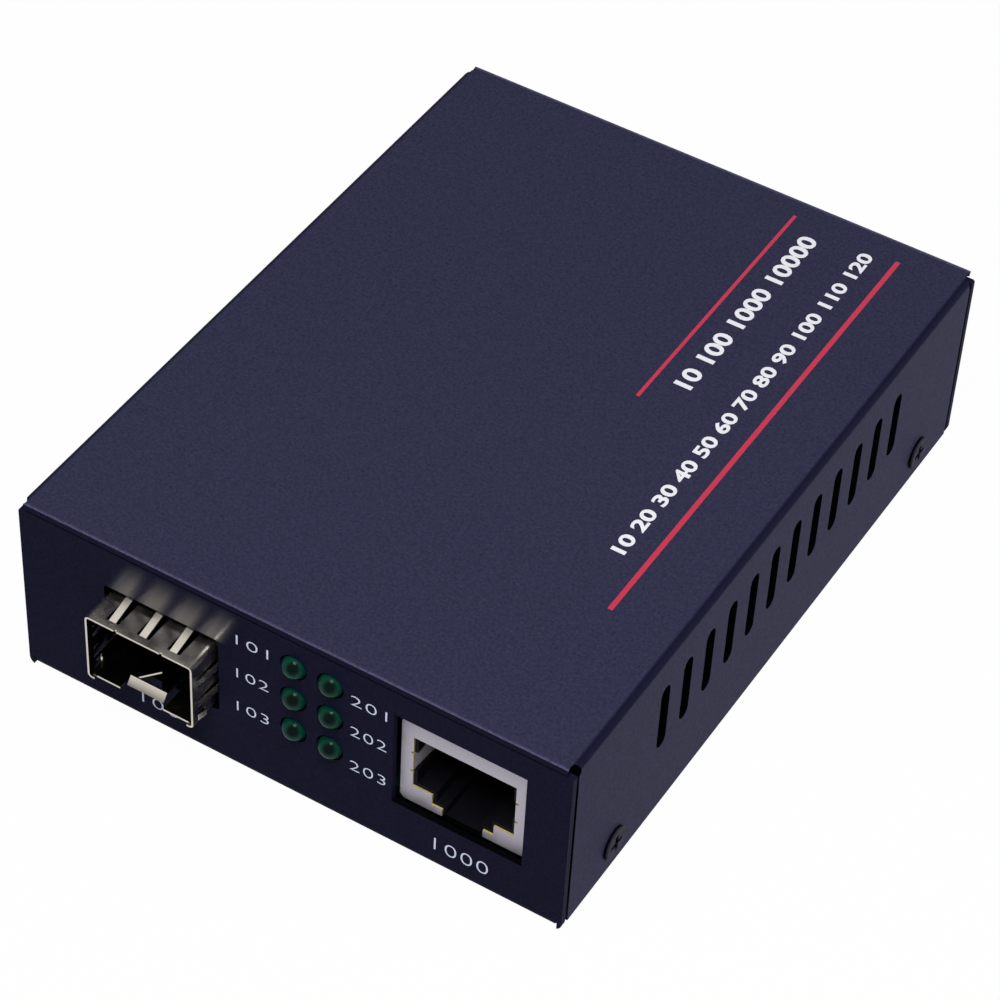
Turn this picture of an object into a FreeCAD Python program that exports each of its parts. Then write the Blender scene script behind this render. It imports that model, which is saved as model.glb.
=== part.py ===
import FreeCAD, Part
import math
import os

from FreeCAD import Vector

# A small fibre media converter in a folded steel case.
# A tray (floor, two end panels, two low flanges) carries the circuit board on four
# press-in standoffs.  A U-shaped cover slides over it and is held by four side screws.
# Frame: millimetres, +Z up, +Y from the front panel to the rear panel, +X to the right
# seen from the front.  The origin is the middle of the case's underside.

# ------------------------------------------------------------------ case
case_width = 71.0
case_depth = 94.0
case_height = 26.0
tray_sheet = 0.8
cover_sheet = 0.8
tray_bend = 1.3
cover_bend = 1.0
slip_gap = 0.15
panel_gap = 0.5
top_gap = 0.25
cover_lift = 0.6
flange_height = 6.8
flange_end_gap = 0.8
panel_corner = 1.1
panel_top_corner = 0.3
corner_slit = 0.35
relief_radius = 0.85
relief_setback = 0.4
lip_end_gap = 0.7
past = 1.0
touch = 1e-4
least_fold = 0.05
small_fold = 1.0
small_fold_flats = 3
hidden_sides = 12
lamp_sides = 16
screw_sides = 20

# ------------------------------------------------------------------ vents in the cover's sides
vent_count = 12
vent_pitch = 5.0
vent_width = 2.0
vent_height = 9.6
vent_base = 11.3
vent_shift = 0.5
vent_end_flats = 5

# ------------------------------------------------------------------ screws
screw_diameter = 3.0
screw_play = 0.05
cover_screw_diameter = 2.5
cover_screw_length = 4.0
cover_screw_head = 4.2
cover_screw_head_height = 0.45
cover_screw_edge = 0.15
cover_hole_play = 0.15
cover_screw_height = 4.4
cover_screw_front = 10.65
cover_screw_rear = 10.0
recess_span = 2.7
recess_arm = 0.6
recess_depth = 1.1
recess_taper = 0.2
board_screw_head = 5.4
board_screw_head_height = 1.9
board_screw_length = 5.6
board_screw_crown = 0.65
board_screw_overlap = 0.1
board_hole_play = 0.2

# ------------------------------------------------------------------ circuit board and its standoffs
board_sheet = 1.6
board_side_gap = 0.75
board_front_gap = 1.5
board_rear_gap = 0.8
standoff_height = 5.0
standoff_flats = 5.6
standoff_shank = 4.2
standoff_pad = 0.1
standoff_bore_depth = 4.6
standoff_inset = 4.4
standoff_front = 34.6
standoff_rear = 5.4
pin_play = 0.12
tail_below_board = 1.2

# ------------------------------------------------------------------ fibre module cage
cage_offset = -16.6
cage_width = 14.25
cage_height = 9.75
cage_length = 48.7
cage_reach = 4.3
cage_sheet = 0.25
cage_fold = 0.55
cage_lift = 1.35
cage_hem = 0.9
cage_side_gap = 0.48
cage_top_gap = 0.9
cage_bottom_gap = 0.65
window_corner = 0.4
finger_count = 3
finger_pitch = 4.05
finger_width = 0.9
finger_sheet = 0.2
finger_slot = 1.7
finger_setback = 0.95
finger_length = 5.0
finger_crest = 1.3
finger_tip_share = 0.35
finger_end_gap = 0.4
finger_seat_gap = 0.07
side_finger_pitch = 3.4
side_finger_count = 2
side_finger_top = 3.3
stub_height = 0.9
stub_length = 1.2
stub_rise_share = 0.7
stub_end_gap = 0.3
stub_side_gap = 0.25
rim_notch_width = 0.35
rim_notch_depth = 0.18
rim_notch_spread = 3.04
tail_width = 0.9
tail_shoulder = 2.2
tail_count = 4
tail_first = 7.0
tail_pitch = 9.5

# ------------------------------------------------------------------ cage floor and its latch tongue
floor_sheet = 0.25
floor_setback = 0.25
floor_side_play = 0.06
floor_end = 15.5
latch_gap_width = 5.8
latch_gap_length = 9.5
latch_width = 4.9
latch_setback = 0.95
latch_rise = 0.95
latch_ramp = 0.75
latch_tail = 2.6
latch_tail_share = 0.35
latch_root = 0.6
latch_hole_base = 3.2
latch_hole_length = 2.3
latch_hole_setback = 0.95

# ------------------------------------------------------------------ connector at the back of the cage
host_width = 11.2
host_length = 9.2
host_height = 5.6
host_rear_gap = 2.2
host_slot_width = 9.4
host_slot_height = 1.5
host_slot_depth = 5.6
host_slot_level = 3.3
host_contact_count = 10
host_contact_pitch = 0.8
host_contact_width = 0.35
host_contact_sheet = 0.2
host_contact_setback = 1.2
host_upper_drop = 0.9
host_lower_drop = 0.4
host_lead_in_depth = 0.5
host_lead_in_rise = 0.5

# ------------------------------------------------------------------ network jack
jack_offset = 21.87
jack_width = 15.9
jack_height = 12.7
jack_length = 16.4
jack_recess = 1.25
jack_sheet = 0.25
jack_corner = 0.5
jack_side_gap = 0.3
jack_top_gap = 1.5
jack_bottom_gap = 0.1
mouth_width = 12.8
mouth_floor = 2.6
mouth_top = 10.45
key_width = 7.8
key_floor = 1.05
latch_key_width = 5.15
channel_floor = 0.25
mouth_reveal = 0.4
socket_depth = 12.6
spring_height = 2.6
spring_level = 5.15
spring_length = 4.2
spring_lean = 0.3
spring_notch = 0.3
spring_room_gap = 0.15
spring_swing = 1.0
jack_play = 0.05
jack_contact_count = 8
jack_contact_pitch = 1.02
jack_contact_width = 0.4
jack_contact_sheet = 0.3
jack_contact_tip = 11.4
jack_contact_tip_height = 6.1
jack_contact_nose = 3.0
jack_contact_nose_rise = 0.9
jack_contact_roof_rise = 1.3
jack_contact_rear = 3.2
comb_tip_gap = 0.6
comb_overlap = 0.1
contact_slot_play = 0.06
peg_radius = 1.6
peg_spread = 11.4
peg_setback = 8.9

# ------------------------------------------------------------------ indicator lamps
lamp_rows = 3
lamp_columns = 2
lamp_row_pitch = 5.0
lamp_column_pitch = 4.73
lamp_offset = 3.2
lamp_level_shift = -0.075
lamp_radius = 1.5
lamp_hole_radius = 1.75
lamp_reach = 1.15
lamp_length = 5.3
lamp_flange_radius = 1.9
lamp_flange_sheet = 1.0
lamp_play = 0.06
lead_width = 0.5
lead_spread = 2.54
lead_first_drop = 2.0
lead_drop_pitch = 1.9
holder_wall = 0.75
holder_gap = 0.3
lamp_dome_flats = 4
lamp_tip_flat = 0.3

# ------------------------------------------------------------------ power socket in the rear panel
power_offset = -18.0
power_width = 9.0
power_height = 11.0
power_length = 14.2
power_face_length = 3.4
power_proud = 0.3
power_axis_height = 6.6
power_bore_radius = 3.15
power_bore_depth = 9.4
power_pin_radius = 1.0
power_pin_setback = 0.8
power_window_gap = 0.3
power_face_step = 0.4
power_crown_radius = 3.0
power_crown_drop = 1.4
power_tail_width = 2.6
power_tail_sheet = 0.6
power_pin_tail_line = 0.6
power_leaf_tail_line = 6.6
power_side_tail_line = 3.6
power_side_tail_inset = 0.6
power_leaf_width = 1.6
power_leaf_sheet = 0.35
power_leaf_mouth = 2.4
power_leaf_crest = 4.6
power_leaf_rise = 0.45
power_leaf_dip = 0.2
power_contact_width = 2.0

# ------------------------------------------------------------------ parts on the board
chip_side = 14.0
chip_height = 1.5
chip_offset = 10.0
chip_setback = 46.0
chip_pin_count = 9
chip_pin_pitch = 1.27
chip_pin_width = 0.4
chip_pin_reach = 1.0
chip_pin_sheet = 0.2
chip_lift = 0.1
magnetics_length = 12.7
magnetics_width = 9.4
magnetics_height = 5.8
magnetics_gap = 3.4
magnetics_pin_count = 8
magnetics_pin_pitch = 1.27
magnetics_pin_width = 0.5
magnetics_pin_reach = 1.5
magnetics_pin_sheet = 0.25
magnetics_edge = 0.35
magnetics_lift = 0.15
memory_length = 4.9
memory_width = 3.9
memory_height = 1.5
memory_offset = 24.0
memory_setback = 46.0
memory_pin_count = 4
memory_pin_pitch = 1.27
memory_pin_width = 0.42
memory_pin_reach = 1.0
memory_pin_sheet = 0.2
crystal_length = 11.0
crystal_width = 4.6
crystal_height = 3.6
crystal_offset = 8.0
crystal_setback = 60.5
regulator_length = 6.5
regulator_width = 3.5
regulator_height = 1.6
regulator_offset = 24.0
regulator_setback = 62.0
regulator_pin_count = 3
regulator_pin_pitch = 2.3
regulator_pin_width = 0.7
regulator_tab_width = 3.0
regulator_pin_reach = 1.6
regulator_pin_sheet = 0.3
regulator_lift = 0.05
capacitor_radius = 3.15
capacitor_height = 7.7
capacitor_edge = 0.35
capacitor_first_offset = -3.0
capacitor_pitch = 8.6
capacitor_count = 2
capacitor_setback = 78.0
inductor_side = 6.6
inductor_height = 3.0
inductor_corner = 1.2
inductor_flange = 0.7
inductor_waist = 0.5
inductor_offset = 17.0
inductor_setback = 76.0
passive_length = 1.6
passive_width = 0.8
passive_height = 0.55
passive_count = 6
passive_pitch = 2.4
resistor_offset = 6.0
resistor_setback = 31.5
resistor_row_pitch = 3.0
small_capacitor_offset = 24.0
small_capacitor_setback = 68.0
small_capacitor_row_offset = -8.0
small_capacitor_row_pitch = 16.0

# ------------------------------------------------------------------ places that follow from the sizes
half_width = case_width / 2
front_face = -case_depth / 2
rear_face = case_depth / 2
front_inside = front_face + tray_sheet
rear_inside = rear_face - tray_sheet
flange_outside = half_width - cover_sheet - slip_gap
flange_inside = flange_outside - tray_sheet
panel_top = case_height - cover_sheet - top_gap
side_front = front_face + tray_sheet + panel_gap
side_rear = rear_face - tray_sheet - panel_gap
board_bottom = tray_sheet + standoff_height
board_top = board_bottom + board_sheet
board_front = front_inside + board_front_gap
board_rear = rear_inside - board_rear_gap
board_half = flange_inside - board_side_gap
round_up = 1 / math.cos(math.pi / hidden_sides)
tapped_radius = (screw_diameter / 2 + screw_play) * round_up
cover_tapped_radius = (cover_screw_diameter / 2 + screw_play) * round_up
cover_hole_radius = (cover_screw_diameter / 2 + cover_hole_play) * round_up
cage_front = front_face - cage_reach
cage_rear = cage_front + cage_length
cage_bottom = board_top + cage_lift
cage_top = cage_bottom + cage_height
cage_left = cage_offset - cage_width / 2
cage_right = cage_offset + cage_width / 2
jack_front = front_face + jack_recess
jack_top = board_top + jack_height
lamp_level = (board_top + panel_top) / 2 + lamp_level_shift
lamp_highest = lamp_level + (lamp_rows - 1) / 2 * lamp_row_pitch
lamp_tip = front_face - lamp_reach
lamp_back = lamp_tip + lamp_length
power_front = rear_face + power_proud
power_axis = board_top + power_axis_height


# ------------------------------------------------------------------ helpers
def box(x0, x1, y0, y1, z0, z1):
    """A block given by its lowest and highest corner."""
    return Part.makeBox(x1 - x0, y1 - y0, z1 - z0, Vector(x0, y0, z0))


def rod(radius, start, direction, length):
    """A plain cylinder from a start point along a direction."""
    return Part.makeCylinder(radius, length, Vector(*start), Vector(*direction))


def turning(stations, start, direction, sides):
    """A turned shape drawn with flat sides, for what repeats or stays hidden.  Each station
    is a distance along the axis and the radius there."""
    turns = [2 * math.pi * k / sides for k in range(sides)]
    rings = [
        [Vector(radius * math.cos(turn), radius * math.sin(turn), along) for turn in turns]
        for along, radius in stations
    ]
    faces = []
    for ring in (rings[0], rings[-1]):
        faces.append(Part.Face(Part.makePolygon(ring + [ring[0]])))
    for lower, upper in zip(rings, rings[1:]):
        for k in range(sides):
            following = (k + 1) % sides
            loop = [lower[k], lower[following], upper[following], upper[k], lower[k]]
            faces.append(Part.Face(Part.makePolygon(loop)))
    shape = Part.Solid(Part.Shell(faces))
    turn = FreeCAD.Rotation(Vector(0, 0, 1), Vector(*direction))
    shape.Placement = FreeCAD.Placement(Vector(*start), turn)
    return shape


def hidden_rod(radius, start, direction, length):
    """A round bar or hole that the closed case hides, with few sides."""
    return turning([(0, radius), (length, radius)], start, direction, hidden_sides)


def fuse(shapes):
    """Join shapes that touch or overlap into one clean solid."""
    joined = shapes[0].fuse(shapes[1:])
    return joined.removeSplitter()


def outline_edges(corners):
    """Straight runs and tangent arcs through 2-D corners given as (u, v, radius)."""
    edges = []
    count = len(corners)
    starts = []
    arcs = []
    ends = []
    for index in range(count):
        u, v, radius = corners[index]
        here = Vector(u, v, 0)
        before = Vector(corners[index - 1][0], corners[index - 1][1], 0) - here
        after = Vector(corners[(index + 1) % count][0], corners[(index + 1) % count][1], 0) - here
        before.normalize()
        after.normalize()
        if radius <= 0:
            starts.append(here)
            arcs.append(None)
            ends.append(here)
            continue
        half = before.getAngle(after) / 2
        reach = radius / math.tan(half)
        middle = before + after
        middle.normalize()
        centre = here + middle * (radius / math.sin(half))
        starts.append(here + before * reach)
        arcs.append(centre - middle * radius)
        ends.append(here + after * reach)
    for index in range(count):
        if arcs[index] is not None:
            edges += bend(starts[index], arcs[index], ends[index], corners[index][2])
        following = starts[(index + 1) % count]
        if (following - ends[index]).Length > touch:
            edges.append((ends[index], None, following))
    return edges


def bend(start, middle, end, radius):
    """A rounded corner as one true arc, or as a few flats where the radius is small."""
    if radius >= small_fold:
        return [(start, middle, end)]
    curve = Part.Arc(start, middle, end)
    points = curve.discretize(small_fold_flats + 1)
    return [(points[k], None, points[k + 1]) for k in range(small_fold_flats)]


def prism(plane, corners, low, high):
    """Extrude a rounded outline.  plane "xz" runs along Y, "yz" along X, "xy" along Z."""
    def place(point):
        if plane == "xz":
            return Vector(point.x, low, point.y)
        if plane == "yz":
            return Vector(low, point.x, point.y)
        return Vector(point.x, point.y, low)

    directions = {"xz": Vector(0, 1, 0), "yz": Vector(1, 0, 0), "xy": Vector(0, 0, 1)}
    edges = []
    for start, middle, end in outline_edges(corners):
        if middle is None:
            edges.append(Part.LineSegment(place(start), place(end)).toShape())
        else:
            edges.append(Part.Arc(place(start), place(middle), place(end)).toShape())
    face = Part.Face(Part.Wire(edges))
    return face.extrude(directions[plane] * (high - low))


def rectangle(u0, u1, v0, v1, radius=0.0):
    """Corners of a rectangle, all with one radius."""
    return [(u0, v0, radius), (u1, v0, radius), (u1, v1, radius), (u0, v1, radius)]


def channel(u0, u1, base, top, sheet, fold):
    """Section of a folded channel that opens upwards, with outside fold radius."""
    inner = max(fold - sheet, least_fold)
    return [
        (u0, top, 0), (u0, base, fold), (u1, base, fold), (u1, top, 0),
        (u1 - sheet, top, 0), (u1 - sheet, base + sheet, inner),
        (u0 + sheet, base + sheet, inner), (u0 + sheet, top, 0),
    ]


def strip(points, sheet, fold):
    """Closed outline of a bent strip: its upper side is the given path, its lower side is
    offset by the sheet's thickness, and each bend gets a fold radius."""
    lower = []
    count = len(points)
    for index in range(count):
        u, v = points[index]
        before = points[max(index - 1, 0)]
        after = points[min(index + 1, count - 1)]
        first = Vector(u - before[0], v - before[1], 0)
        second = Vector(after[0] - u, after[1] - v, 0)
        if first.Length < 1e-9:
            first = second
        if second.Length < 1e-9:
            second = first
        first.normalize()
        second.normalize()
        bisector = first + second
        bisector.normalize()
        stretch = sheet / bisector.dot(first)
        lower.append((u + bisector.y * stretch, v - bisector.x * stretch))
    outline = []
    for index in range(count):
        inner_bend = 0 < index < count - 1
        outline.append((points[index][0], points[index][1], fold if inner_bend else 0))
    for index in reversed(range(count)):
        inner_bend = 0 < index < count - 1
        outline.append((lower[index][0], lower[index][1], fold if inner_bend else 0))
    return outline


def cross_recess(depth):
    """Cutter for a cross recess that opens at z = 0 and goes down."""
    blades = []
    for turn in (0, 90):
        blade = prism("xz", [
            (-recess_span / 2, recess_taper, 0), (recess_span / 2, recess_taper, 0),
            (recess_arm / 2, -depth, 0), (-recess_arm / 2, -depth, 0),
        ], -recess_arm / 2, recess_arm / 2)
        blade.rotate(Vector(0, 0, 0), Vector(0, 0, 1), turn)
        blades.append(blade)
    return fuse(blades)


# ------------------------------------------------------------------ places shared by several pieces
def vent_centres():
    """Y of each vent slot, spread evenly about the case's middle plus a small shift."""
    first = -(vent_count - 1) * vent_pitch / 2 + vent_shift
    return [first + index * vent_pitch for index in range(vent_count)]


def cover_screw_places():
    """(side, y) of the four cover screws; side is +1 on the right and -1 on the left."""
    rows = (front_face + cover_screw_front, rear_face - cover_screw_rear)
    return [(side, y) for side in (-1, 1) for y in rows]


def standoff_places():
    """(x, y) of the four standoffs under the board."""
    rows = (front_face + standoff_front, rear_face - standoff_rear)
    return [(side * (board_half - standoff_inset), y) for side in (-1, 1) for y in rows]


def lamp_places():
    """Name, row, x and z of each lamp, left column first, from the bottom up."""
    places = []
    for column, side in enumerate(("left", "right")):
        x = lamp_offset + (column - (lamp_columns - 1) / 2) * lamp_column_pitch
        for row, level in enumerate(("bottom", "middle", "top")):
            z = lamp_highest - (lamp_rows - 1 - row) * lamp_row_pitch
            places.append((side + "_" + level, row, x, z))
    return places


def cage_tail_rows():
    """Y of each press-fit tail along the cage's side walls."""
    return [cage_front + cage_reach + tail_first + index * tail_pitch for index in range(tail_count)]


# ------------------------------------------------------------------ case
def vent_slot(y):
    """Cutter for one vent through both sides of the cover: a slot whose round ends are
    stepped into a few flats, because the slot repeats so often."""
    radius = vent_width / 2
    low = vent_base + radius
    high = vent_base + vent_height - radius
    corners = []
    for k in range(vent_end_flats + 1):
        angle = math.pi * k / vent_end_flats
        corners.append((y + radius * math.cos(angle), high + radius * math.sin(angle), 0))
    for k in range(vent_end_flats + 1):
        angle = math.pi * (1 + k / vent_end_flats)
        corners.append((y + radius * math.cos(angle), low + radius * math.sin(angle), 0))
    return prism("yz", corners, -half_width - past, half_width + past)


def panel(inner_face, outward):
    """One end panel: as wide as the case, with small lugs beside the floor's fold."""
    low = min(inner_face, inner_face + outward * tray_sheet)
    high = low + tray_sheet
    plate = prism("xz", [
        (-half_width, 0, panel_corner), (half_width, 0, panel_corner),
        (half_width, panel_top, panel_top_corner), (-half_width, panel_top, panel_top_corner),
    ], low, high)
    slit = flange_outside + corner_slit
    fold_room = box(-slit, slit, low - past, high + past, -past, tray_bend)
    return plate.cut(fold_room)


def tray_shell():
    """Floor, end panels and side flanges, before any hole."""
    lengthwise = prism(
        "yz", channel(front_face, rear_face, 0, panel_top, tray_sheet, tray_bend),
        -flange_outside, flange_outside)
    flange_start = front_face + tray_bend + flange_end_gap
    flange_end = rear_face - tray_bend - flange_end_gap
    edge_room = flange_outside - tray_bend
    for side in (-1, 1):
        x0 = min(side * edge_room, side * (flange_outside + past))
        x1 = max(side * edge_room, side * (flange_outside + past))
        lengthwise = lengthwise.cut(box(x0, x1, flange_start, flange_end, -past, tray_bend + past))
    crosswise = prism(
        "xz", channel(-flange_outside, flange_outside, 0, flange_height, tray_sheet, tray_bend),
        flange_start, flange_end)
    return fuse([lengthwise, crosswise, panel(front_inside, -1), panel(rear_inside, 1)])


def cage_window():
    """Cutter for the cage's opening in the front panel."""
    corners = rectangle(
        cage_left - cage_side_gap, cage_right + cage_side_gap,
        cage_bottom - cage_bottom_gap, cage_top + cage_top_gap, window_corner)
    return prism("xz", corners, front_face - past, front_inside + past)


def jack_window():
    """Cutter for the network jack's opening in the front panel."""
    left = jack_offset - jack_width / 2 - jack_side_gap
    right = jack_offset + jack_width / 2 + jack_side_gap
    corners = rectangle(left, right, board_top + jack_bottom_gap, jack_top + jack_top_gap)
    return prism("xz", corners, front_face - past, front_inside + past)


def power_window():
    """Cutter for the power socket's opening in the rear panel."""
    corners = rectangle(
        power_offset - power_width / 2 - power_window_gap,
        power_offset + power_width / 2 + power_window_gap,
        board_top - power_window_gap, board_top + power_height + power_window_gap)
    return prism("xz", corners, rear_inside - past, rear_face + past)


def make_base_tray():
    """The folded tray with its windows, lamp holes, tapped holes and standoff seats."""
    cutters = [cage_window(), jack_window(), power_window()]
    for _, _, x, z in lamp_places():
        hole = [(0, lamp_hole_radius), (tray_sheet + 2 * past, lamp_hole_radius)]
        cutters.append(turning(hole, (x, front_face - past, z), (0, 1, 0), lamp_sides))
    for side, y in cover_screw_places():
        start = (side * (flange_inside - past), y, cover_screw_height)
        cutters.append(hidden_rod(cover_tapped_radius, start, (side, 0, 0), tray_sheet + 2 * past))
    for x, y in standoff_places():
        start = (x, y, -past)
        cutters.append(hidden_rod(standoff_shank / 2, start, (0, 0, 1), tray_sheet + 2 * past))
    return tray_shell().cut(cutters)


def cover_section():
    """The cover's section: a channel that opens downwards."""
    inner = max(cover_bend - cover_sheet, least_fold)
    inside = half_width - cover_sheet
    ceiling = case_height - cover_sheet
    return [
        (-half_width, cover_lift, 0), (-half_width, case_height, cover_bend),
        (half_width, case_height, cover_bend), (half_width, cover_lift, 0),
        (inside, cover_lift, 0), (inside, ceiling, inner),
        (-inside, ceiling, inner), (-inside, cover_lift, 0),
    ]


def relief_holes():
    """Cutters for the round reliefs at the cover's four upper corners, where a roof lip, a
    fold and a side meet.  Each is drilled along the corner's own diagonal."""
    depth = 2 * relief_radius
    diagonal = math.sqrt(3) * depth
    holes = []
    for side in (-1, 1):
        for end, face in ((-1, front_face), (1, rear_face)):
            x = side * (half_width - depth)
            y = face - end * (relief_setback + depth)
            start = (x, y, case_height - relief_setback - depth)
            hole = [(0, relief_radius), (2 * diagonal, relief_radius)]
            holes.append(turning(hole, start, (side, end, 1), lamp_sides))
    return holes


def make_top_cover():
    """The U-shaped cover: its roof reaches over both end panels, its sides stop short."""
    cover = prism("xz", cover_section(), front_face, rear_face)
    cutters = relief_holes()
    ceiling = case_height - cover_sheet
    lip_end = half_width - lip_end_gap
    fold_start = half_width - cover_bend
    for side in (-1, 1):
        for start, top in ((lip_end, case_height + past), (fold_start, ceiling)):
            x0 = min(side * start, side * (half_width + past))
            x1 = max(side * start, side * (half_width + past))
            cutters.append(box(x0, x1, front_face - past, side_front, -past, top))
            cutters.append(box(x0, x1, side_rear, rear_face + past, -past, top))
    for y in vent_centres():
        cutters.append(vent_slot(y))
    for side, y in cover_screw_places():
        start = (side * (half_width - cover_sheet - past), y, cover_screw_height)
        cutters.append(hidden_rod(cover_hole_radius, start, (side, 0, 0), cover_sheet + 2 * past))
    return cover.cut(cutters)


def cover_screw(side, y):
    """A screw with a thin round head that stands on the cover."""
    head = cover_screw_head / 2
    shank = cover_screw_diameter / 2
    stations = [
        (-cover_screw_head_height, head - cover_screw_edge),
        (cover_screw_edge - cover_screw_head_height, head), (0, head), (0, shank),
        (cover_screw_length, shank),
    ]
    start = (side * half_width, y, cover_screw_height)
    return turning(stations, start, (-side, 0, 0), screw_sides)


def make_cover_screws():
    """Four thin-head cross-recess screws."""
    screws = []
    for side, y in cover_screw_places():
        recess = cross_recess(recess_depth)
        recess.rotate(Vector(0, 0, 0), Vector(0, 1, 0), side * 90)
        recess.translate(Vector(side * (half_width + cover_screw_head_height), y, cover_screw_height))
        screws.append(cover_screw(side, y).cut(recess))
    return Part.makeCompound(screws)


# ------------------------------------------------------------------ board and its fasteners
def hexagon(flats, x, y):
    """Corners of a hexagon about a point, given across its flats."""
    radius = flats / math.sqrt(3)
    return [
        (x + radius * math.cos(math.radians(60 * k)), y + radius * math.sin(math.radians(60 * k)), 0)
        for k in range(6)
    ]


def standoff(x, y):
    """A hexagonal press-in standoff: its shank fills the hole in the tray's floor."""
    body = prism("xy", hexagon(standoff_flats, x, y), tray_sheet, board_bottom)
    shank = hidden_rod(standoff_shank / 2, (x, y, standoff_pad), (0, 0, 1), tray_sheet)
    bore_start = (x, y, board_bottom - standoff_bore_depth)
    bore = hidden_rod(tapped_radius, bore_start, (0, 0, 1), standoff_bore_depth + past)
    return fuse([body, shank]).cut(bore)


def make_board_standoffs():
    """Four standoffs."""
    return Part.makeCompound([standoff(x, y) for x, y in standoff_places()])


def board_screw(x, y):
    """A pan-head screw whose head clamps the board."""
    head_radius = board_screw_head / 2
    head = turning([
        (0, head_radius), (board_screw_head_height - board_screw_crown, head_radius),
        (board_screw_head_height, head_radius - board_screw_crown),
    ], (0, 0, 0), (0, 0, 1), hidden_sides)
    shank = hidden_rod(
        screw_diameter / 2, (0, 0, -board_screw_length), (0, 0, 1),
        board_screw_length + board_screw_overlap)
    recess = cross_recess(recess_depth)
    recess.translate(Vector(0, 0, board_screw_head_height))
    screw = fuse([head, shank]).cut(recess)
    screw.translate(Vector(x, y, board_top))
    return screw


def make_board_screws():
    """Four pan-head screws, one in each standoff."""
    return Part.makeCompound([board_screw(x, y) for x, y in standoff_places()])


def make_circuit_board():
    """The board with its screw holes and a hole for every pin that passes through it."""
    plate = prism(
        "xy", rectangle(-board_half, board_half, board_front, board_rear),
        board_bottom, board_top)
    cutters = []
    for x, y in standoff_places():
        cutters.append(board_hole(x, y, screw_diameter / 2 + board_hole_play))
    for y in cage_tail_rows():
        for x in (cage_left + cage_sheet / 2, cage_right - cage_sheet / 2):
            cutters.append(board_slot(x, y, cage_sheet, tail_width))
    for x, y in lead_places():
        cutters.append(board_slot(x, y, lead_width, lead_width))
    for side in (-1, 1):
        peg_x = jack_offset + side * peg_spread / 2
        cutters.append(board_hole(peg_x, jack_front + peg_setback, peg_radius + pin_play))
    for index in range(jack_contact_count):
        x, y = jack_pin_place(index)
        cutters.append(board_slot(x, y, jack_contact_width, jack_contact_sheet))
    for x, y, turned in power_tail_places():
        length_x = power_tail_sheet if turned else power_tail_width
        length_y = power_tail_width if turned else power_tail_sheet
        cutters.append(board_slot(x, y, length_x, length_y))
    return plate.cut(cutters)


def board_hole(x, y, radius):
    """Cutter for a round hole through the board."""
    return hidden_rod(radius, (x, y, board_bottom - past), (0, 0, 1), board_sheet + 2 * past)


def board_slot(x, y, width, length):
    """Cutter for a square-cornered hole through the board, with play round the pin."""
    half_x = width / 2 + pin_play
    half_y = length / 2 + pin_play
    return box(x - half_x, x + half_x, y - half_y, y + half_y, board_bottom - past, board_top + past)


# ------------------------------------------------------------------ fibre module cage
def cage_section():
    """The shell's section: roof, two walls and a narrow hem folded under each wall."""
    x0 = cage_left
    x1 = cage_right
    inner = max(cage_fold - cage_sheet, least_fold)
    return [
        (x0, cage_top, cage_fold), (x1, cage_top, cage_fold),
        (x1, cage_bottom, cage_fold), (x1 - cage_hem, cage_bottom, 0),
        (x1 - cage_hem, cage_bottom + cage_sheet, 0), (x1 - cage_sheet, cage_bottom + cage_sheet, inner),
        (x1 - cage_sheet, cage_top - cage_sheet, inner), (x0 + cage_sheet, cage_top - cage_sheet, inner),
        (x0 + cage_sheet, cage_bottom + cage_sheet, inner), (x0 + cage_hem, cage_bottom + cage_sheet, 0),
        (x0 + cage_hem, cage_bottom, 0), (x0, cage_bottom, cage_fold),
    ]


def finger_path(rise):
    """Side view of a contact finger: it leaves the wall, leans out to touch the window's
    edge at the panel and turns back in behind it.  Returned as (distance from the rim, height)."""
    root = finger_setback - cage_sheet
    middle = cage_reach + tray_sheet / 2
    tip = finger_setback + finger_length
    return [
        (root, 0), (finger_setback, 0), (middle - finger_crest / 2, rise),
        (middle + finger_crest / 2, rise), (tip, rise * finger_tip_share),
    ]


def roof_fingers():
    """Windows and fingers on the cage's roof."""
    rise = cage_top_gap - finger_seat_gap
    windows = []
    fingers = []
    for index in range(finger_count):
        x = cage_offset + (index - (finger_count - 1) / 2) * finger_pitch
        windows.append(box(
            x - finger_slot / 2, x + finger_slot / 2, cage_front + finger_setback,
            cage_front + finger_setback + finger_length + finger_end_gap, cage_top - past, cage_top + past))
        path = [(cage_front + along, cage_top + up) for along, up in finger_path(rise)]
        outline = strip(path, finger_sheet, 0)
        fingers.append(prism("yz", outline, x - finger_width / 2, x + finger_width / 2))
    return windows, fingers


def wall_fingers():
    """Windows and fingers on both side walls, with a short stub under them."""
    rise = cage_side_gap - finger_seat_gap
    windows = []
    fingers = []
    levels = [cage_top - side_finger_top - index * side_finger_pitch for index in range(side_finger_count)]
    for side, wall in ((-1, cage_left), (1, cage_right)):
        for z in levels:
            windows.append(box(
                wall - past, wall + past, cage_front + finger_setback,
                cage_front + finger_setback + finger_length + finger_end_gap,
                z - finger_slot / 2, z + finger_slot / 2))
            fingers.append(wall_finger(side, wall, z, finger_path(rise)))
        stub_level = cage_bottom + cage_fold + stub_height / 2
        stub_end = finger_setback + stub_length
        windows.append(box(
            wall - past, wall + past, cage_front + finger_setback, cage_front + stub_end + stub_end_gap,
            stub_level - stub_height / 2 - stub_side_gap, stub_level + stub_height / 2 + stub_side_gap))
        stub = [(finger_setback - cage_sheet, 0), (finger_setback, 0), (stub_end, rise * stub_rise_share)]
        fingers.append(wall_finger(side, wall, stub_level, stub))
    return windows, fingers


def wall_finger(side, wall, z, path):
    """One finger on a side wall.  The path runs back from the rim and bulges outwards."""
    points = [(wall + side * up, cage_front + along) for along, up in path]
    if side > 0:
        points.reverse()
    outline = strip(points, finger_sheet, 0)
    return prism("xy", outline, z - finger_width / 2, z + finger_width / 2)


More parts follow.
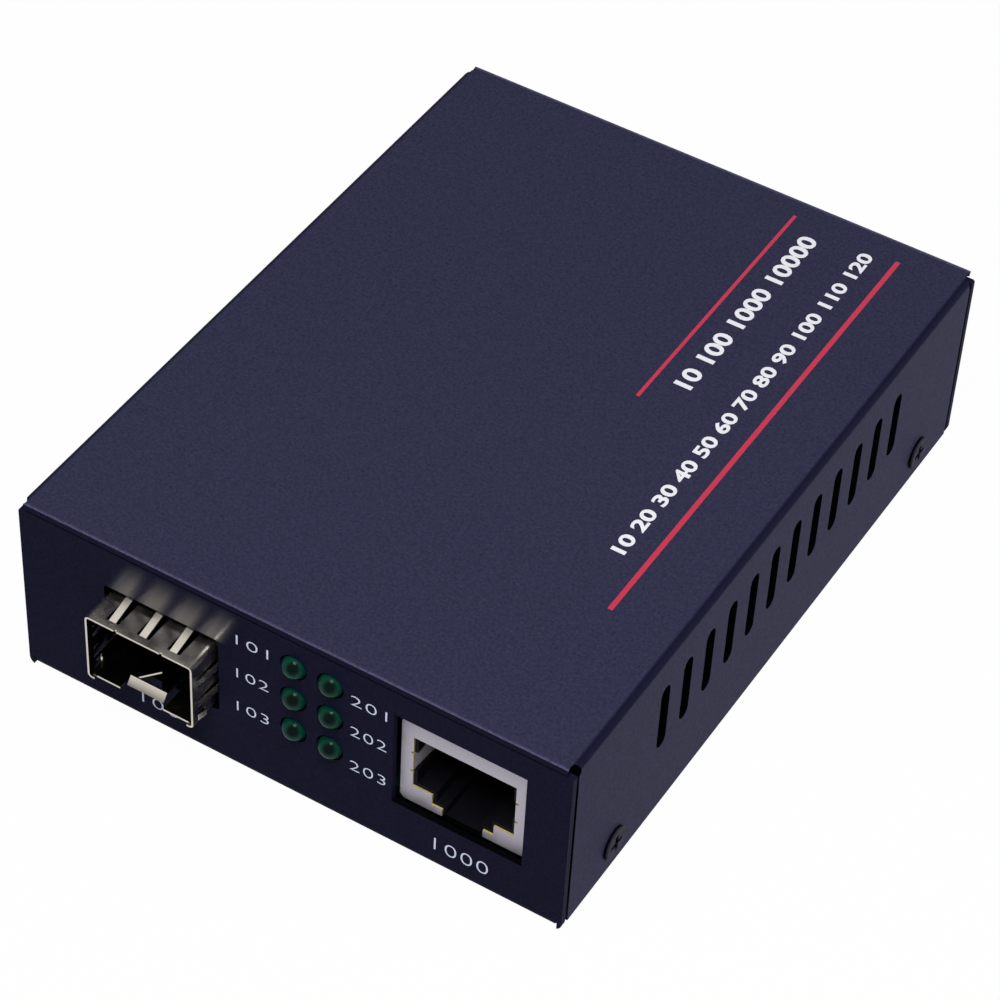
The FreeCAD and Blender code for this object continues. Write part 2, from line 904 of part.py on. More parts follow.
def cage_tail(wall, side, y):
    """A shouldered tail: the shoulder stands on the board, the tail goes through it."""
    x0 = min(wall, wall - side * cage_sheet)
    x1 = x0 + cage_sheet
    shoulder = box(
        x0, x1, y - tail_shoulder / 2, y + tail_shoulder / 2, board_top, cage_bottom + cage_fold)
    tail = box(
        x0, x1, y - tail_width / 2, y + tail_width / 2,
        board_bottom - tail_below_board, board_top + cage_sheet)
    return fuse([shoulder, tail])


def make_cage_shell():
    """The cage's folded shell with contact fingers, rear wall and board tails."""
    shell = prism("xz", cage_section(), cage_front, cage_rear)
    rear_wall = box(
        cage_left + cage_sheet / 2, cage_right - cage_sheet / 2,
        cage_rear - cage_sheet, cage_rear, cage_bottom + cage_sheet / 2, cage_top - cage_sheet / 2)
    roof_windows, roof_strips = roof_fingers()
    wall_windows, wall_strips = wall_fingers()
    cutters = roof_windows + wall_windows
    for side in (-1, 1):
        x = cage_offset + side * rim_notch_spread
        cutters.append(box(
            x - rim_notch_width / 2, x + rim_notch_width / 2,
            cage_front - past, cage_front + rim_notch_depth, cage_top - past, cage_top + past))
    shell = shell.cut(cutters)
    pieces = [shell, rear_wall] + roof_strips + wall_strips
    for side, wall in ((-1, cage_left), (1, cage_right)):
        for y in cage_tail_rows():
            pieces.append(cage_tail(wall, side, y))
    return fuse(pieces)


def make_cage_floor():
    """The cage's floor sheet with the sprung latch tongue cut out of it."""
    half = cage_width / 2 - cage_fold - floor_side_play
    base = cage_bottom + cage_sheet
    start = cage_front + floor_setback
    end = cage_rear - floor_end
    outline = rectangle(cage_offset - half, cage_offset + half, start, end)
    sheet = prism("xy", outline, base, base + floor_sheet)
    notch = box(
        cage_offset - latch_gap_width / 2, cage_offset + latch_gap_width / 2,
        start - past, cage_front + latch_gap_length, base - past, base + past)
    top = base + floor_sheet
    tip = cage_front + latch_setback
    path = [
        (tip, top), (tip + latch_ramp, top + latch_rise),
        (cage_front + latch_gap_length - latch_tail, top + latch_rise * latch_tail_share),
        (cage_front + latch_gap_length, top), (cage_front + latch_gap_length + latch_root, top),
    ]
    tongue = prism(
        "yz", strip(path, floor_sheet, 0),
        cage_offset - latch_width / 2, cage_offset + latch_width / 2)
    hole_start = tip + latch_hole_setback
    hole = prism("xy", [
        (cage_offset - latch_hole_base / 2, hole_start, 0),
        (cage_offset + latch_hole_base / 2, hole_start, 0),
        (cage_offset, hole_start + latch_hole_length, 0),
    ], base - past, top + latch_rise + past)
    return fuse([sheet.cut(notch), tongue.cut(hole)])


# ------------------------------------------------------------------ connector at the back of the cage
def host_span():
    """Front and rear of the connector block."""
    rear = cage_rear - cage_sheet - host_rear_gap
    return rear - host_length, rear


def host_contact_level(upper):
    """Underside of a contact row: above the slot's roof or just under its floor."""
    centre = board_top + host_slot_level
    if upper:
        return centre + host_slot_height / 2
    return centre - host_slot_height / 2 - host_contact_sheet


def host_contact(x, upper):
    """One contact: a strip along the slot's roof or floor that turns down to the board."""
    front, rear = host_span()
    half = host_contact_width / 2
    level = host_contact_level(upper)
    drop = rear + (host_upper_drop if upper else host_lower_drop)
    corners = [
        (front + host_contact_setback, level, 0), (drop - host_contact_sheet, level, 0),
        (drop - host_contact_sheet, board_top, 0), (drop, board_top, 0),
        (drop, level + host_contact_sheet, 0),
        (front + host_contact_setback, level + host_contact_sheet, 0),
    ]
    return prism("yz", corners, x - half, x + half)


def host_contact_rows():
    """(x, upper) of every contact in the connector."""
    rows = []
    for upper in (True, False):
        for index in range(host_contact_count):
            x = cage_offset + (index - (host_contact_count - 1) / 2) * host_contact_pitch
            rows.append((x, upper))
    return rows


def make_host_connector():
    """The moulded edge connector that takes the module's board.  Each row of contacts lies
    in one shallow recess of the slot's roof or floor."""
    front, rear = host_span()
    centre = board_top + host_slot_level
    half_slot = host_slot_height / 2
    left = cage_offset - host_slot_width / 2
    right = cage_offset + host_slot_width / 2
    block = box(
        cage_offset - host_width / 2, cage_offset + host_width / 2, front, rear,
        board_top, board_top + host_height)
    slot = box(left, right, front - past, front + host_slot_depth, centre - half_slot, centre + half_slot)
    lead_in_end = front + host_lead_in_depth
    lead_in = prism("yz", [
        (front, centre - half_slot - host_lead_in_rise, 0), (lead_in_end, centre - half_slot, 0),
        (lead_in_end, centre + half_slot, 0), (front, centre + half_slot + host_lead_in_rise, 0),
    ], left, right)
    cutters = [slot, lead_in]
    row_half = (host_contact_count - 1) * host_contact_pitch / 2 + host_contact_width / 2
    for upper in (True, False):
        level = host_contact_level(upper)
        cutters.append(box(
            cage_offset - row_half, cage_offset + row_half, front + host_contact_setback, rear + past,
            level, level + host_contact_sheet))
    return block.cut(cutters)


def make_host_contacts():
    """All contacts of the edge connector."""
    return Part.makeCompound([host_contact(x, upper) for x, upper in host_contact_rows()])


# ------------------------------------------------------------------ network jack
def mouth_outline(inset, under):
    """The stepped mouth: a wide opening with two keyways for the plug's latch below it, the
    lower one down to the given level."""
    half = mouth_width / 2 - inset
    key = key_width / 2 - inset
    latch = latch_key_width / 2 - inset
    base = board_top
    top = base + mouth_top - inset
    floor = base + mouth_floor + inset
    ledge = base + key_floor + inset
    c = jack_offset
    return [
        (c - half, top, 0), (c - half, floor, 0), (c - key, floor, 0), (c - key, ledge, 0),
        (c - latch, ledge, 0), (c - latch, under, 0), (c + latch, under, 0), (c + latch, ledge, 0),
        (c + key, ledge, 0), (c + key, floor, 0), (c + half, floor, 0), (c + half, top, 0),
    ]


def make_jack_shield():
    """The jack's folded shield: front face with the mouth, roof, sides, back and two springs."""
    left = jack_offset - jack_width / 2
    right = jack_offset + jack_width / 2
    rear = jack_front + jack_length
    outer = prism("xz", [
        (left, board_top, jack_sheet), (left, jack_top, jack_corner),
        (right, jack_top, jack_corner), (right, board_top, jack_sheet),
    ], jack_front, rear)
    room = box(
        left + jack_sheet, right - jack_sheet, jack_front + jack_sheet, rear - jack_sheet,
        board_top - past, jack_top - jack_sheet)
    opening = mouth_outline(0, board_top - past)
    cutters = [room, prism("xz", opening, jack_front - past, jack_front + 2 * jack_sheet)]
    for edge, inward in ((left, 1), (right, -1)):
        cutters.append(prism("xz", [
            (edge, board_top, 0),
            (edge + inward * jack_corner, board_top, 0),
            (edge, board_top + jack_corner, 0),
        ], jack_front - past, jack_front + jack_sheet))
    springs = []
    for side in (-1, 1):
        edge = jack_offset + side * mouth_width / 2
        low = board_top + spring_level
        high = low + spring_height
        for z in (low - spring_notch, high):
            x0 = min(edge, edge + side * spring_notch) - jack_play
            cutters.append(box(
                x0, x0 + spring_notch + 2 * jack_play, jack_front - past, jack_front + 2 * jack_sheet,
                z, z + spring_notch))
        path = [
            (edge + side * jack_sheet, jack_front), (edge, jack_front),
            (edge - side * spring_lean, jack_front + spring_length),
        ]
        if side > 0:
            path.reverse()
        springs.append(prism("xy", strip(path, -jack_sheet, 0), low, high))
    shield = outer.cut(cutters)
    return fuse([shield] + springs)


def spring_room(side):
    """Recess in the jack's moulding behind a side spring."""
    edge = jack_offset + side * mouth_width / 2
    low = board_top + spring_level - spring_room_gap
    inner = edge - side * spring_swing
    outer = edge + side * (jack_sheet + spring_room_gap)
    return box(
        min(inner, outer), max(inner, outer), jack_front - past,
        jack_front + spring_length + 2 * spring_room_gap, low, low + spring_height + 2 * spring_room_gap)


def jack_contact_path():
    """Side view of a contact wire: tip in the socket, up to the nose, back over the roof, down."""
    rear = jack_front + jack_length - jack_sheet
    roof = board_top + mouth_top - mouth_reveal
    return [
        (jack_front + jack_contact_tip, board_top + jack_contact_tip_height),
        (jack_front + jack_contact_nose, roof + jack_contact_nose_rise),
        (rear - jack_contact_rear, roof + jack_contact_roof_rise),
        (rear - jack_contact_rear, board_bottom - tail_below_board),
    ]


def jack_pin_place(index):
    """(x, y) where a contact wire passes the board."""
    x = jack_offset + (index - (jack_contact_count - 1) / 2) * jack_contact_pitch
    return x, jack_contact_path()[-1][0] - jack_contact_sheet / 2


def jack_wire(index, play):
    """One contact wire, or with play the channel that it needs in the moulding."""
    x, _ = jack_pin_place(index)
    half = jack_contact_width / 2 + play
    tip, nose, turn, _ = jack_contact_path()
    if not play:
        return prism("yz", strip(jack_contact_path(), jack_contact_sheet, 0), x - half, x + half)
    rear = turn[0]
    roof = board_top + mouth_top - mouth_reveal - comb_overlap
    return prism("yz", [
        (tip[0] + comb_tip_gap, tip[1] - comb_tip_gap, 0), (nose[0] - comb_tip_gap, roof, 0),
        (nose[0] - comb_tip_gap, nose[1] + play, 0), (rear + play, turn[1] + play, 0),
        (rear + play, board_top - past, 0), (rear - jack_contact_sheet - play, board_top - past, 0),
        (rear - jack_contact_sheet - play, roof, 0), (tip[0] + comb_tip_gap, roof, 0),
    ], x - half, x + half)


def make_jack_housing():
    """The jack's black moulding: stepped socket, comb of wire channels and two pegs."""
    left = jack_offset - jack_width / 2 + jack_sheet + jack_play
    right = jack_offset + jack_width / 2 - jack_sheet - jack_play
    front = jack_front + jack_sheet + jack_play
    rear = jack_front + jack_length - jack_sheet - jack_play
    top = jack_top - jack_sheet - jack_play
    block = box(left, right, front, rear, board_top, top)
    opening = mouth_outline(mouth_reveal, board_top + channel_floor)
    socket = prism("xz", opening, front - past, jack_front + socket_depth)
    cutters = [socket, spring_room(-1), spring_room(1)]
    for index in range(jack_contact_count):
        cutters.append(jack_wire(index, contact_slot_play))
    body = block.cut(cutters)
    pegs = []
    for side in (-1, 1):
        x = jack_offset + side * peg_spread / 2
        start = (x, jack_front + peg_setback, board_bottom - tail_below_board)
        length = tail_below_board + board_sheet + mouth_reveal
        pegs.append(hidden_rod(peg_radius, start, (0, 0, 1), length))
    return fuse([body] + pegs)


def make_jack_contacts():
    """The eight contact wires."""
    return Part.makeCompound([jack_wire(index, 0) for index in range(jack_contact_count)])


# ------------------------------------------------------------------ indicator lamps
def lamp_lens(x, z):
    """A 3 mm lamp: round nose, straight barrel and a flange at the back."""
    stations = [(0, lamp_tip_flat)]
    for k in range(1, lamp_dome_flats + 1):
        angle = math.pi / 2 * k / lamp_dome_flats
        stations.append((lamp_radius * (1 - math.cos(angle)), lamp_radius * math.sin(angle)))
    stations.append((lamp_length, lamp_radius))
    lens = turning(stations, (x, lamp_tip, z), (0, 1, 0), lamp_sides)
    flange = hidden_rod(
        lamp_flange_radius, (x, lamp_back - lamp_flange_sheet, z), (0, 1, 0), lamp_flange_sheet)
    return fuse([lens, flange])


def lead_drop(row):
    """Y at which the leads of a row turn down; higher rows turn further back."""
    return lamp_back + lead_first_drop + row * lead_drop_pitch


def lead_places():
    """(x, y) where each lead passes the board."""
    places = []
    for _, row, x, _ in lamp_places():
        for side in (-1, 1):
            places.append((x + side * lead_spread / 2, lead_drop(row) - lead_width / 2))
    return places


def lamp_leads(row, x, z):
    """The two leads of one lamp, bent down through the board."""
    path = [
        (lamp_back, z + lead_width / 2), (lead_drop(row), z + lead_width / 2),
        (lead_drop(row), board_bottom - tail_below_board),
    ]
    leads = []
    for side in (-1, 1):
        middle = x + side * lead_spread / 2
        leads.append(prism(
            "yz", strip(path, lead_width, 0), middle - lead_width / 2, middle + lead_width / 2))
    return Part.makeCompound(leads)


def make_lamp_holder():
    """The black block behind the front panel whose bores line the lamps up.  Each lamp's
    flange stops against the block's back."""
    half = (lamp_columns - 1) * lamp_column_pitch / 2 + lamp_flange_radius + holder_wall
    top = lamp_highest + lamp_flange_radius + holder_wall
    front = front_inside + holder_gap
    back = lamp_back - lamp_flange_sheet - lamp_play
    block = box(lamp_offset - half, lamp_offset + half, front, back, board_top, top)
    bores = []
    for _, _, x, z in lamp_places():
        radius = (lamp_radius + lamp_play) / math.cos(math.pi / hidden_sides)
        bores.append(hidden_rod(radius, (x, front - past, z), (0, 1, 0), back - front + 2 * past))
    return block.cut(bores)


# ------------------------------------------------------------------ power socket
def power_tail_places():
    """(x, y, turned) of the three flat tails; a turned tail lies along Y."""
    inner_end = power_front - power_length
    side_x = power_offset - power_width / 2 + power_side_tail_inset
    return [
        (power_offset, inner_end + power_pin_tail_line, False),
        (power_offset, inner_end + power_leaf_tail_line, False),
        (side_x, inner_end + power_side_tail_line, True),
    ]


def power_bore():
    """Cutter for the socket's round bore."""
    return rod(
        power_bore_radius, (power_offset, power_front - power_bore_depth, power_axis), (0, 1, 0),
        power_bore_depth + past)


def make_power_housing():
    """The moulded barrel socket: square face, round-topped body, bore from the rear."""
    left = power_offset - power_width / 2
    right = power_offset + power_width / 2
    step = power_front - power_face_length
    face = prism(
        "xz", rectangle(left, right, board_top, board_top + power_height), step, power_front)
    crown = board_top + power_height - power_crown_drop
    body = prism("xz", [
        (left + power_face_step, board_top, 0), (right - power_face_step, board_top, 0),
        (right - power_face_step, crown, power_crown_radius),
        (left + power_face_step, crown, power_crown_radius),
    ], power_front - power_length, step)
    return fuse([face, body]).cut([power_bore(), power_leaf(pin_play), power_pin_room()])


def power_pin_room():
    """Room for the centre pin's root and tail in the moulding."""
    x, y, _ = power_tail_places()[0]
    root = hidden_rod(power_pin_radius, (x, y - past, power_axis), (0, 1, 0), power_length)
    tail = box(
        x - power_tail_width / 2, x + power_tail_width / 2, y - power_tail_sheet / 2 - past,
        y + power_tail_sheet / 2, board_top - past, power_axis + power_tail_width / 2)
    return fuse([root, tail])


def make_power_pin():
    """The socket's centre pin with a tapered end, on its flat tail."""
    x, y, _ = power_tail_places()[0]
    start = y - power_tail_sheet / 2
    length = power_front - power_pin_setback - start
    taper = power_pin_radius / 2
    pin = turning(
        [(0, power_pin_radius), (length - taper, power_pin_radius), (length, power_pin_radius - taper)],
        (x, start, power_axis), (0, 1, 0), hidden_sides)
    tail = box(
        x - power_tail_width / 2, x + power_tail_width / 2, start, y + power_tail_sheet / 2,
        board_bottom - tail_below_board, power_axis + power_tail_width / 2)
    return fuse([pin, tail])


def power_leaf(play):
    """The sprung leaf under the bore that touches the plug's sleeve, or the room it needs."""
    x, y, _ = power_tail_places()[1]
    bore_floor = power_axis - power_bore_radius
    half = power_leaf_width / 2 + play
    back = y - power_tail_sheet / 2
    path = [
        (power_front - power_leaf_mouth, bore_floor - power_leaf_dip),
        (power_front - power_leaf_crest, bore_floor + power_leaf_rise),
        (back, bore_floor - power_leaf_dip), (back, board_top - power_leaf_sheet),
    ]
    return prism("yz", strip(path, -(power_leaf_sheet + play), 0), x - half, x + half)


def make_power_contacts():
    """The sleeve leaf and the side contact, each with a flat tail through the board."""
    x, y, _ = power_tail_places()[1]
    half = power_contact_width / 2
    start = y - power_tail_sheet / 2
    tail = box(
        x - half, x + half, start, start + power_leaf_sheet, board_bottom - tail_below_board, board_top)
    side_x, side_y, _ = power_tail_places()[2]
    side = box(
        side_x - power_leaf_sheet / 2, side_x + power_leaf_sheet / 2, side_y - half, side_y + half,
        board_bottom - tail_below_board, board_top)
    return Part.makeCompound([fuse([power_leaf(0), tail]), side])


# ------------------------------------------------------------------ parts on the board
def gull_pin(edge, outward, across, width, reach, body_height, sheet):
    """A pin that slopes down from the middle of the body's side and ends on the board."""
    shoulder = board_top + body_height / 2 + sheet
    foot = edge + outward * reach
    corners = [
        (edge, shoulder, 0), (foot, board_top + sheet, 0), (foot, board_top, 0),
        (edge, shoulder - 2 * sheet, 0),
    ]
    return prism("yz", corners, across - width / 2, across + width / 2)


def pin_rows(x, y, half, count, pitch, width, reach, body_height, sheet):
    """Two rows of pins along X, in front of and behind a body."""
    pins = []
    for index in range(count):
        across = x + (index - (count - 1) / 2) * pitch
        pins.append(gull_pin(y + half, 1, across, width, reach, body_height, sheet))
        pins.append(gull_pin(y - half, -1, across, width, reach, body_height, sheet))
    return pins


def make_converter_chip():
    """The flat square chip in the middle of the board."""
    y = front_face + chip_setback
    half = chip_side / 2
    corners = rectangle(chip_offset - half, chip_offset + half, y - half, y + half)
    return prism("xy", corners, board_top + chip_lift, board_top + chip_height)


def make_chip_pins():
    """Pins on all four sides of the chip."""
    y = front_face + chip_setback
    half = chip_side / 2
    rows = pin_rows(
        chip_offset, y, half, chip_pin_count, chip_pin_pitch, chip_pin_width, chip_pin_reach,
        chip_height, chip_pin_sheet)
    turned = []
    for pin in rows:
        copy = pin.copy()
        copy.rotate(Vector(chip_offset, y, 0), Vector(0, 0, 1), 90)
        turned.append(copy)
    return Part.makeCompound(rows + turned)


def magnetics_place():
    """Centre of the line transformer, behind the network jack."""
    return jack_offset, jack_front + jack_length + magnetics_gap + magnetics_width / 2


def make_line_transformer():
    """The moulded line transformer between the jack and the chip."""
    x, y = magnetics_place()
    body = prism(
        "xy", rectangle(
            x - magnetics_length / 2, x + magnetics_length / 2,
            y - magnetics_width / 2, y + magnetics_width / 2),
        board_top + magnetics_lift, board_top + magnetics_height)
    rims = [edge for edge in body.Edges if edge.BoundBox.ZMin > board_top + magnetics_height - touch]
    return body.makeChamfer(magnetics_edge, rims)


def make_transformer_pins():
    """Two rows of pins on the line transformer."""
    x, y = magnetics_place()
    return Part.makeCompound(pin_rows(
        x, y, magnetics_width / 2, magnetics_pin_count, magnetics_pin_pitch, magnetics_pin_width,
        magnetics_pin_reach, magnetics_height / 2, magnetics_pin_sheet))


def make_memory_chip():
    """The small memory chip."""
    y = front_face + memory_setback
    return prism(
        "xy", rectangle(
            memory_offset - memory_length / 2, memory_offset + memory_length / 2,
            y - memory_width / 2, y + memory_width / 2),
        board_top + chip_lift, board_top + memory_height)


def make_memory_pins():
    """Two rows of pins on the memory chip."""
    return Part.makeCompound(pin_rows(
        memory_offset, front_face + memory_setback, memory_width / 2, memory_pin_count,
        memory_pin_pitch, memory_pin_width, memory_pin_reach, memory_height, memory_pin_sheet))


def make_crystal():
    """The crystal's round-ended metal can."""
    y = front_face + crystal_setback
    corners = rectangle(
        crystal_offset - crystal_length / 2, crystal_offset + crystal_length / 2,
        y - crystal_width / 2, y + crystal_width / 2, crystal_width / 2)
    return prism("xy", corners, board_top, board_top + crystal_height)


def make_regulator():
    """The voltage regulator's moulded body."""
    y = front_face + regulator_setback
    return prism(
        "xy", rectangle(
            regulator_offset - regulator_length / 2, regulator_offset + regulator_length / 2,
            y - regulator_width / 2, y + regulator_width / 2),
        board_top + regulator_lift, board_top + regulator_height)


def make_regulator_pins():
    """Three pins in front of the regulator and the wide tab behind it."""
    y = front_face + regulator_setback
    pins = []
    for index in range(regulator_pin_count):
        across = regulator_offset + (index - (regulator_pin_count - 1) / 2) * regulator_pin_pitch
        pins.append(gull_pin(
            y - regulator_width / 2, -1, across, regulator_pin_width, regulator_pin_reach,
            regulator_height, regulator_pin_sheet))
    pins.append(gull_pin(
        y + regulator_width / 2, 1, regulator_offset, regulator_tab_width, regulator_pin_reach,
        regulator_height, regulator_pin_sheet))
    return Part.makeCompound(pins)


def capacitor_places():
    """(x, y) of each round capacitor."""
    y = front_face + capacitor_setback
    return [(capacitor_first_offset + index * capacitor_pitch, y) for index in range(capacitor_count)]


def make_capacitor(x, y):
    """A round capacitor: a sleeved can with a broken top edge."""
    return turning([
        (0, capacitor_radius), (capacitor_height - capacitor_edge, capacitor_radius),
        (capacitor_height, capacitor_radius - capacitor_edge),
    ], (x, y, board_top), (0, 0, 1), hidden_sides)


def make_inductor():
    """The power inductor: square base, round winding and square lid."""
    y = front_face + inductor_setback
    half = inductor_side / 2
    corners = []
    for sx, sy in ((1, 1), (-1, 1), (-1, -1), (1, -1)):
        first = (inductor_offset + sx * half, y + sy * (half - inductor_corner), 0)
        second = (inductor_offset + sx * (half - inductor_corner), y + sy * half, 0)
        corners += [first, second] if sx == sy else [second, first]
    base = prism("xy", corners, board_top, board_top + inductor_flange)
    lid = prism(
        "xy", corners, board_top + inductor_height - inductor_flange, board_top + inductor_height)
    drum = hidden_rod(
        half - inductor_waist, (inductor_offset, y, board_top + inductor_flange), (0, 0, 1),
        inductor_height - 2 * inductor_flange)
    return fuse([base, lid, drum])


def passive_row(x, y):
    """A row of small chip parts along X about a middle, each standing flat on the board."""
    row = []
    for index in range(passive_count):
        middle = x + (index - (passive_count - 1) / 2) * passive_pitch
        row.append(box(
            middle - passive_width / 2, middle + passive_width / 2, y - passive_length / 2,
            y + passive_length / 2, board_top, board_top + passive_height))
    return row


def make_chip_resistors():
    """Two rows of chip resistors between the lamps and the chip."""
    y = front_face + resistor_setback
    first = passive_row(resistor_offset, y)
    return Part.makeCompound(first + passive_row(resistor_offset, y + resistor_row_pitch))


def make_chip_capacitors():
    """One row of chip capacitors behind the regulator and one nearer the rear panel."""
    y = front_face + small_capacitor_setback
    first = passive_row(small_capacitor_offset, y)
    x = small_capacitor_offset + small_capacitor_row_offset
    return Part.makeCompound(first + passive_row(x, y + small_capacitor_row_pitch))


# ------------------------------------------------------------------ export
def all_nodes():
    """Every node's name and shape."""
    nodes = {
        "base_tray": make_base_tray(),
        "top_cover": make_top_cover(),
        "cover_screws": make_cover_screws(),
        "circuit_board": make_circuit_board(),
        "board_standoffs": make_board_standoffs(),
        "board_screws": make_board_screws(),
        "cage_shell": make_cage_shell(),
        "cage_floor": make_cage_floor(),
        "host_connector": make_host_connector(),
        "host_contacts": make_host_contacts(),
        "jack_shield": make_jack_shield(),
        "jack_housing": make_jack_housing(),
        "jack_contacts": make_jack_contacts(),
        "lamp_holder": make_lamp_holder(),
        "power_housing": make_power_housing(),
        "power_pin": make_power_pin(),
        "power_contacts": make_power_contacts(),
        "converter_chip": make_converter_chip(),
        "chip_pins": make_chip_pins(),
        "line_transformer": make_line_transformer(),
        "transformer_pins": make_transformer_pins(),
        "memory_chip": make_memory_chip(),
        "memory_pins": make_memory_pins(),
        "crystal": make_crystal(),
        "regulator": make_regulator(),
        "regulator_pins": make_regulator_pins(),
        "inductor": make_inductor(),
        "chip_resistors": make_chip_resistors(),
        "chip_capacitors": make_chip_capacitors(),
    }
    for name, row, x, z in lamp_places():
        nodes["lamp_" + name] = lamp_lens(x, z)
        nodes["leads_" + name] = lamp_leads(row, x, z)
    for index, (x, y) in enumerate(capacitor_places()):
        nodes["capacitor_" + str(index + 1)] = make_capacitor(x, y)
    return nodes


os.makedirs("parts", exist_ok=True)
for node, shape in all_nodes().items():
    shape.exportStep("parts/" + node + ".step")
    print(node, len(shape.Solids), "solid(s)", round(shape.Volume, 2), "mm3", "valid", shape.isValid())
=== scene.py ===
# %% [markdown]
# A small fibre media converter: a folded steel case with a fibre module cage, a network jack
# and six lamps in its front panel.  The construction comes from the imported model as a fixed
# frame.  This file gives every piece its finish, adds the smooth lamp lenses and the print,
# and sets up the floor, the light and the camera.  All lengths are in metres; the origin is
# the middle of the case's underside, +Y runs from the front panel to the rear one.

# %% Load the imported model
import math

import bmesh
import bpy
from mathutils import Matrix, Vector


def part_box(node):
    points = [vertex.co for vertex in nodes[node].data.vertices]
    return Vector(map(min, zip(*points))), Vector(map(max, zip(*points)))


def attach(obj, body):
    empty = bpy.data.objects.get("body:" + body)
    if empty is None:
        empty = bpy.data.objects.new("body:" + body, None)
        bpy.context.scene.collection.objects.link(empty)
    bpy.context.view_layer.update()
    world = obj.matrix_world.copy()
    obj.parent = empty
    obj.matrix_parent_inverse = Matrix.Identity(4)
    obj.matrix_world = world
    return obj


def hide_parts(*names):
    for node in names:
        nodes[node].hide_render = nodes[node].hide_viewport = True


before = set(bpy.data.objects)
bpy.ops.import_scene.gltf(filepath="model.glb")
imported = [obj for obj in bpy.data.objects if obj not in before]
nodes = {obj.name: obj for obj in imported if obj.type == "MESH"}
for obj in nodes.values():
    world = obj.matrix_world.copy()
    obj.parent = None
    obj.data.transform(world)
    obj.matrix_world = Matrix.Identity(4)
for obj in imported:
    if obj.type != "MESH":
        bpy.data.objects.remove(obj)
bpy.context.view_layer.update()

MM = 0.001

# %% [markdown]
# The camera comes first, because every finish is judged through it.  It is a long lens from
# above the front right corner.  A camera looks along its own -Z, so its matrix is built from
# three directions: to its right, up, and back towards the viewer.  A small roll tips the view,
# and the sideways and upward slide is measured in the camera's own directions.

# %% Camera
view_turn = math.radians(29.216)
view_rise = math.radians(44.856)
view_roll = math.radians(3.309)
view_slide = Vector((23.68, 32.544, 389.429)) * MM
view_aim = Vector((0, -47.0, 0)) * MM
lens_length = 125.997


def camera_axes(turn, rise, roll):
    """The camera's right, up and back directions."""
    back = Vector((math.sin(turn) * math.cos(rise), -math.cos(turn) * math.cos(rise), math.sin(rise)))
    level = Vector((math.cos(turn), math.sin(turn), 0))
    up = back.cross(level)
    right = level * math.cos(roll) + up * math.sin(roll)
    return right, back.cross(right), back


right, up, back = camera_axes(view_turn, view_rise, view_roll)
camera_data = bpy.data.cameras.new("camera")
camera_data.lens = lens_length
camera = bpy.data.objects.new("camera", camera_data)
bpy.context.scene.collection.objects.link(camera)
camera.matrix_world = Matrix((right, up, back)).transposed().to_4x4()
camera.matrix_world.translation = view_aim + right * view_slide.x + up * view_slide.y + back * view_slide.z
bpy.context.scene.camera = camera
bpy.context.scene.view_settings.view_transform = "Standard"
print("camera at", [round(v, 4) for v in camera.matrix_world.translation])

# %% [markdown]
# Materials are graphs of nodes.  A tiny helper that adds a node, sets its input values and
# links what feeds it keeps each recipe short enough to read as a sentence.  Recipes that are
# used again and again become node groups, and every material here has one Principled shader.

# %% Node helpers
def add(tree, kind, links=(), **values):
    """Add a node; values set its properties or inputs, links are (input, source output)."""
    node = tree.nodes.new(kind)
    for name, value in values.items():
        if hasattr(node, name):
            setattr(node, name, value)
        else:
            node.inputs[name.replace("_", " ")].default_value = value
    for name, source in links:
        tree.links.new(source, node.inputs[name])
    return node


def new_group(name, inputs, outputs):
    """A shader node group with named inputs and outputs, and its two end nodes."""
    group = bpy.data.node_groups.new(name, "ShaderNodeTree")
    for socket, kind, value in inputs:
        made = group.interface.new_socket(socket, in_out="INPUT", socket_type=kind)
        made.default_value = value
    for socket, kind in outputs:
        group.interface.new_socket(socket, in_out="OUTPUT", socket_type=kind)
    return group, group.nodes.new("NodeGroupInput"), group.nodes.new("NodeGroupOutput")


def use_group(tree, group, links=(), **values):
    """Place a group in a material."""
    node = tree.nodes.new("ShaderNodeGroup")
    node.node_tree = group
    for name, value in values.items():
        node.inputs[name.replace("_", " ")].default_value = value
    for name, source in links:
        tree.links.new(source, node.inputs[name])
    return node


def new_material(name, **shader):
    """A material with one Principled shader; returns the material, its tree and the shader."""
    material = bpy.data.materials.new(name)
    material.use_nodes = True
    tree = material.node_tree
    principled = tree.nodes["Principled BSDF"]
    for socket, value in shader.items():
        principled.inputs[socket.replace("_", " ")].default_value = value
    return material, tree, principled

print("helpers:", [helper.__name__ for helper in (add, new_group, use_group, new_material)])

# %% [markdown]
# Masks are numbers from 0 to 1 that say where a second colour or a gloss goes.  They are worked
# out with arithmetic nodes, so two more helpers write that arithmetic on one line: a single
# operation on numbers and outputs, and the product of several masks, which is 1 only where all
# of them are 1.

# %% Arithmetic on masks
def calculate(tree, operation, *values, **settings):
    """One operation; each value is a number or another node's output."""
    node = add(tree, "ShaderNodeMath", operation=operation, **settings)
    for place, value in enumerate(values):
        if isinstance(value, (int, float)):
            node.inputs[place].default_value = value
        else:
            tree.links.new(value, node.inputs[place])
    return node.outputs[0]


def product(tree, mask, *others):
    """All the masks multiplied together."""
    for other in others:
        mask = calculate(tree, "MULTIPLY", mask, other)
    return mask


print("helpers:", [helper.__name__ for helper in (calculate, product)])

# %% [markdown]
# No made surface is one flat colour.  Plating, mouldings and paint are a little lighter and
# darker in soft patches.  An image could hold such patches, but a noise texture has no seams
# and no resolution.  It reads Object coordinates, which are metres in this frame, so the size
# of a patch is given in real units.  The group centres the noise on 1 and multiplies by it.

# %% Group: mottle
noise_middle = 0.5


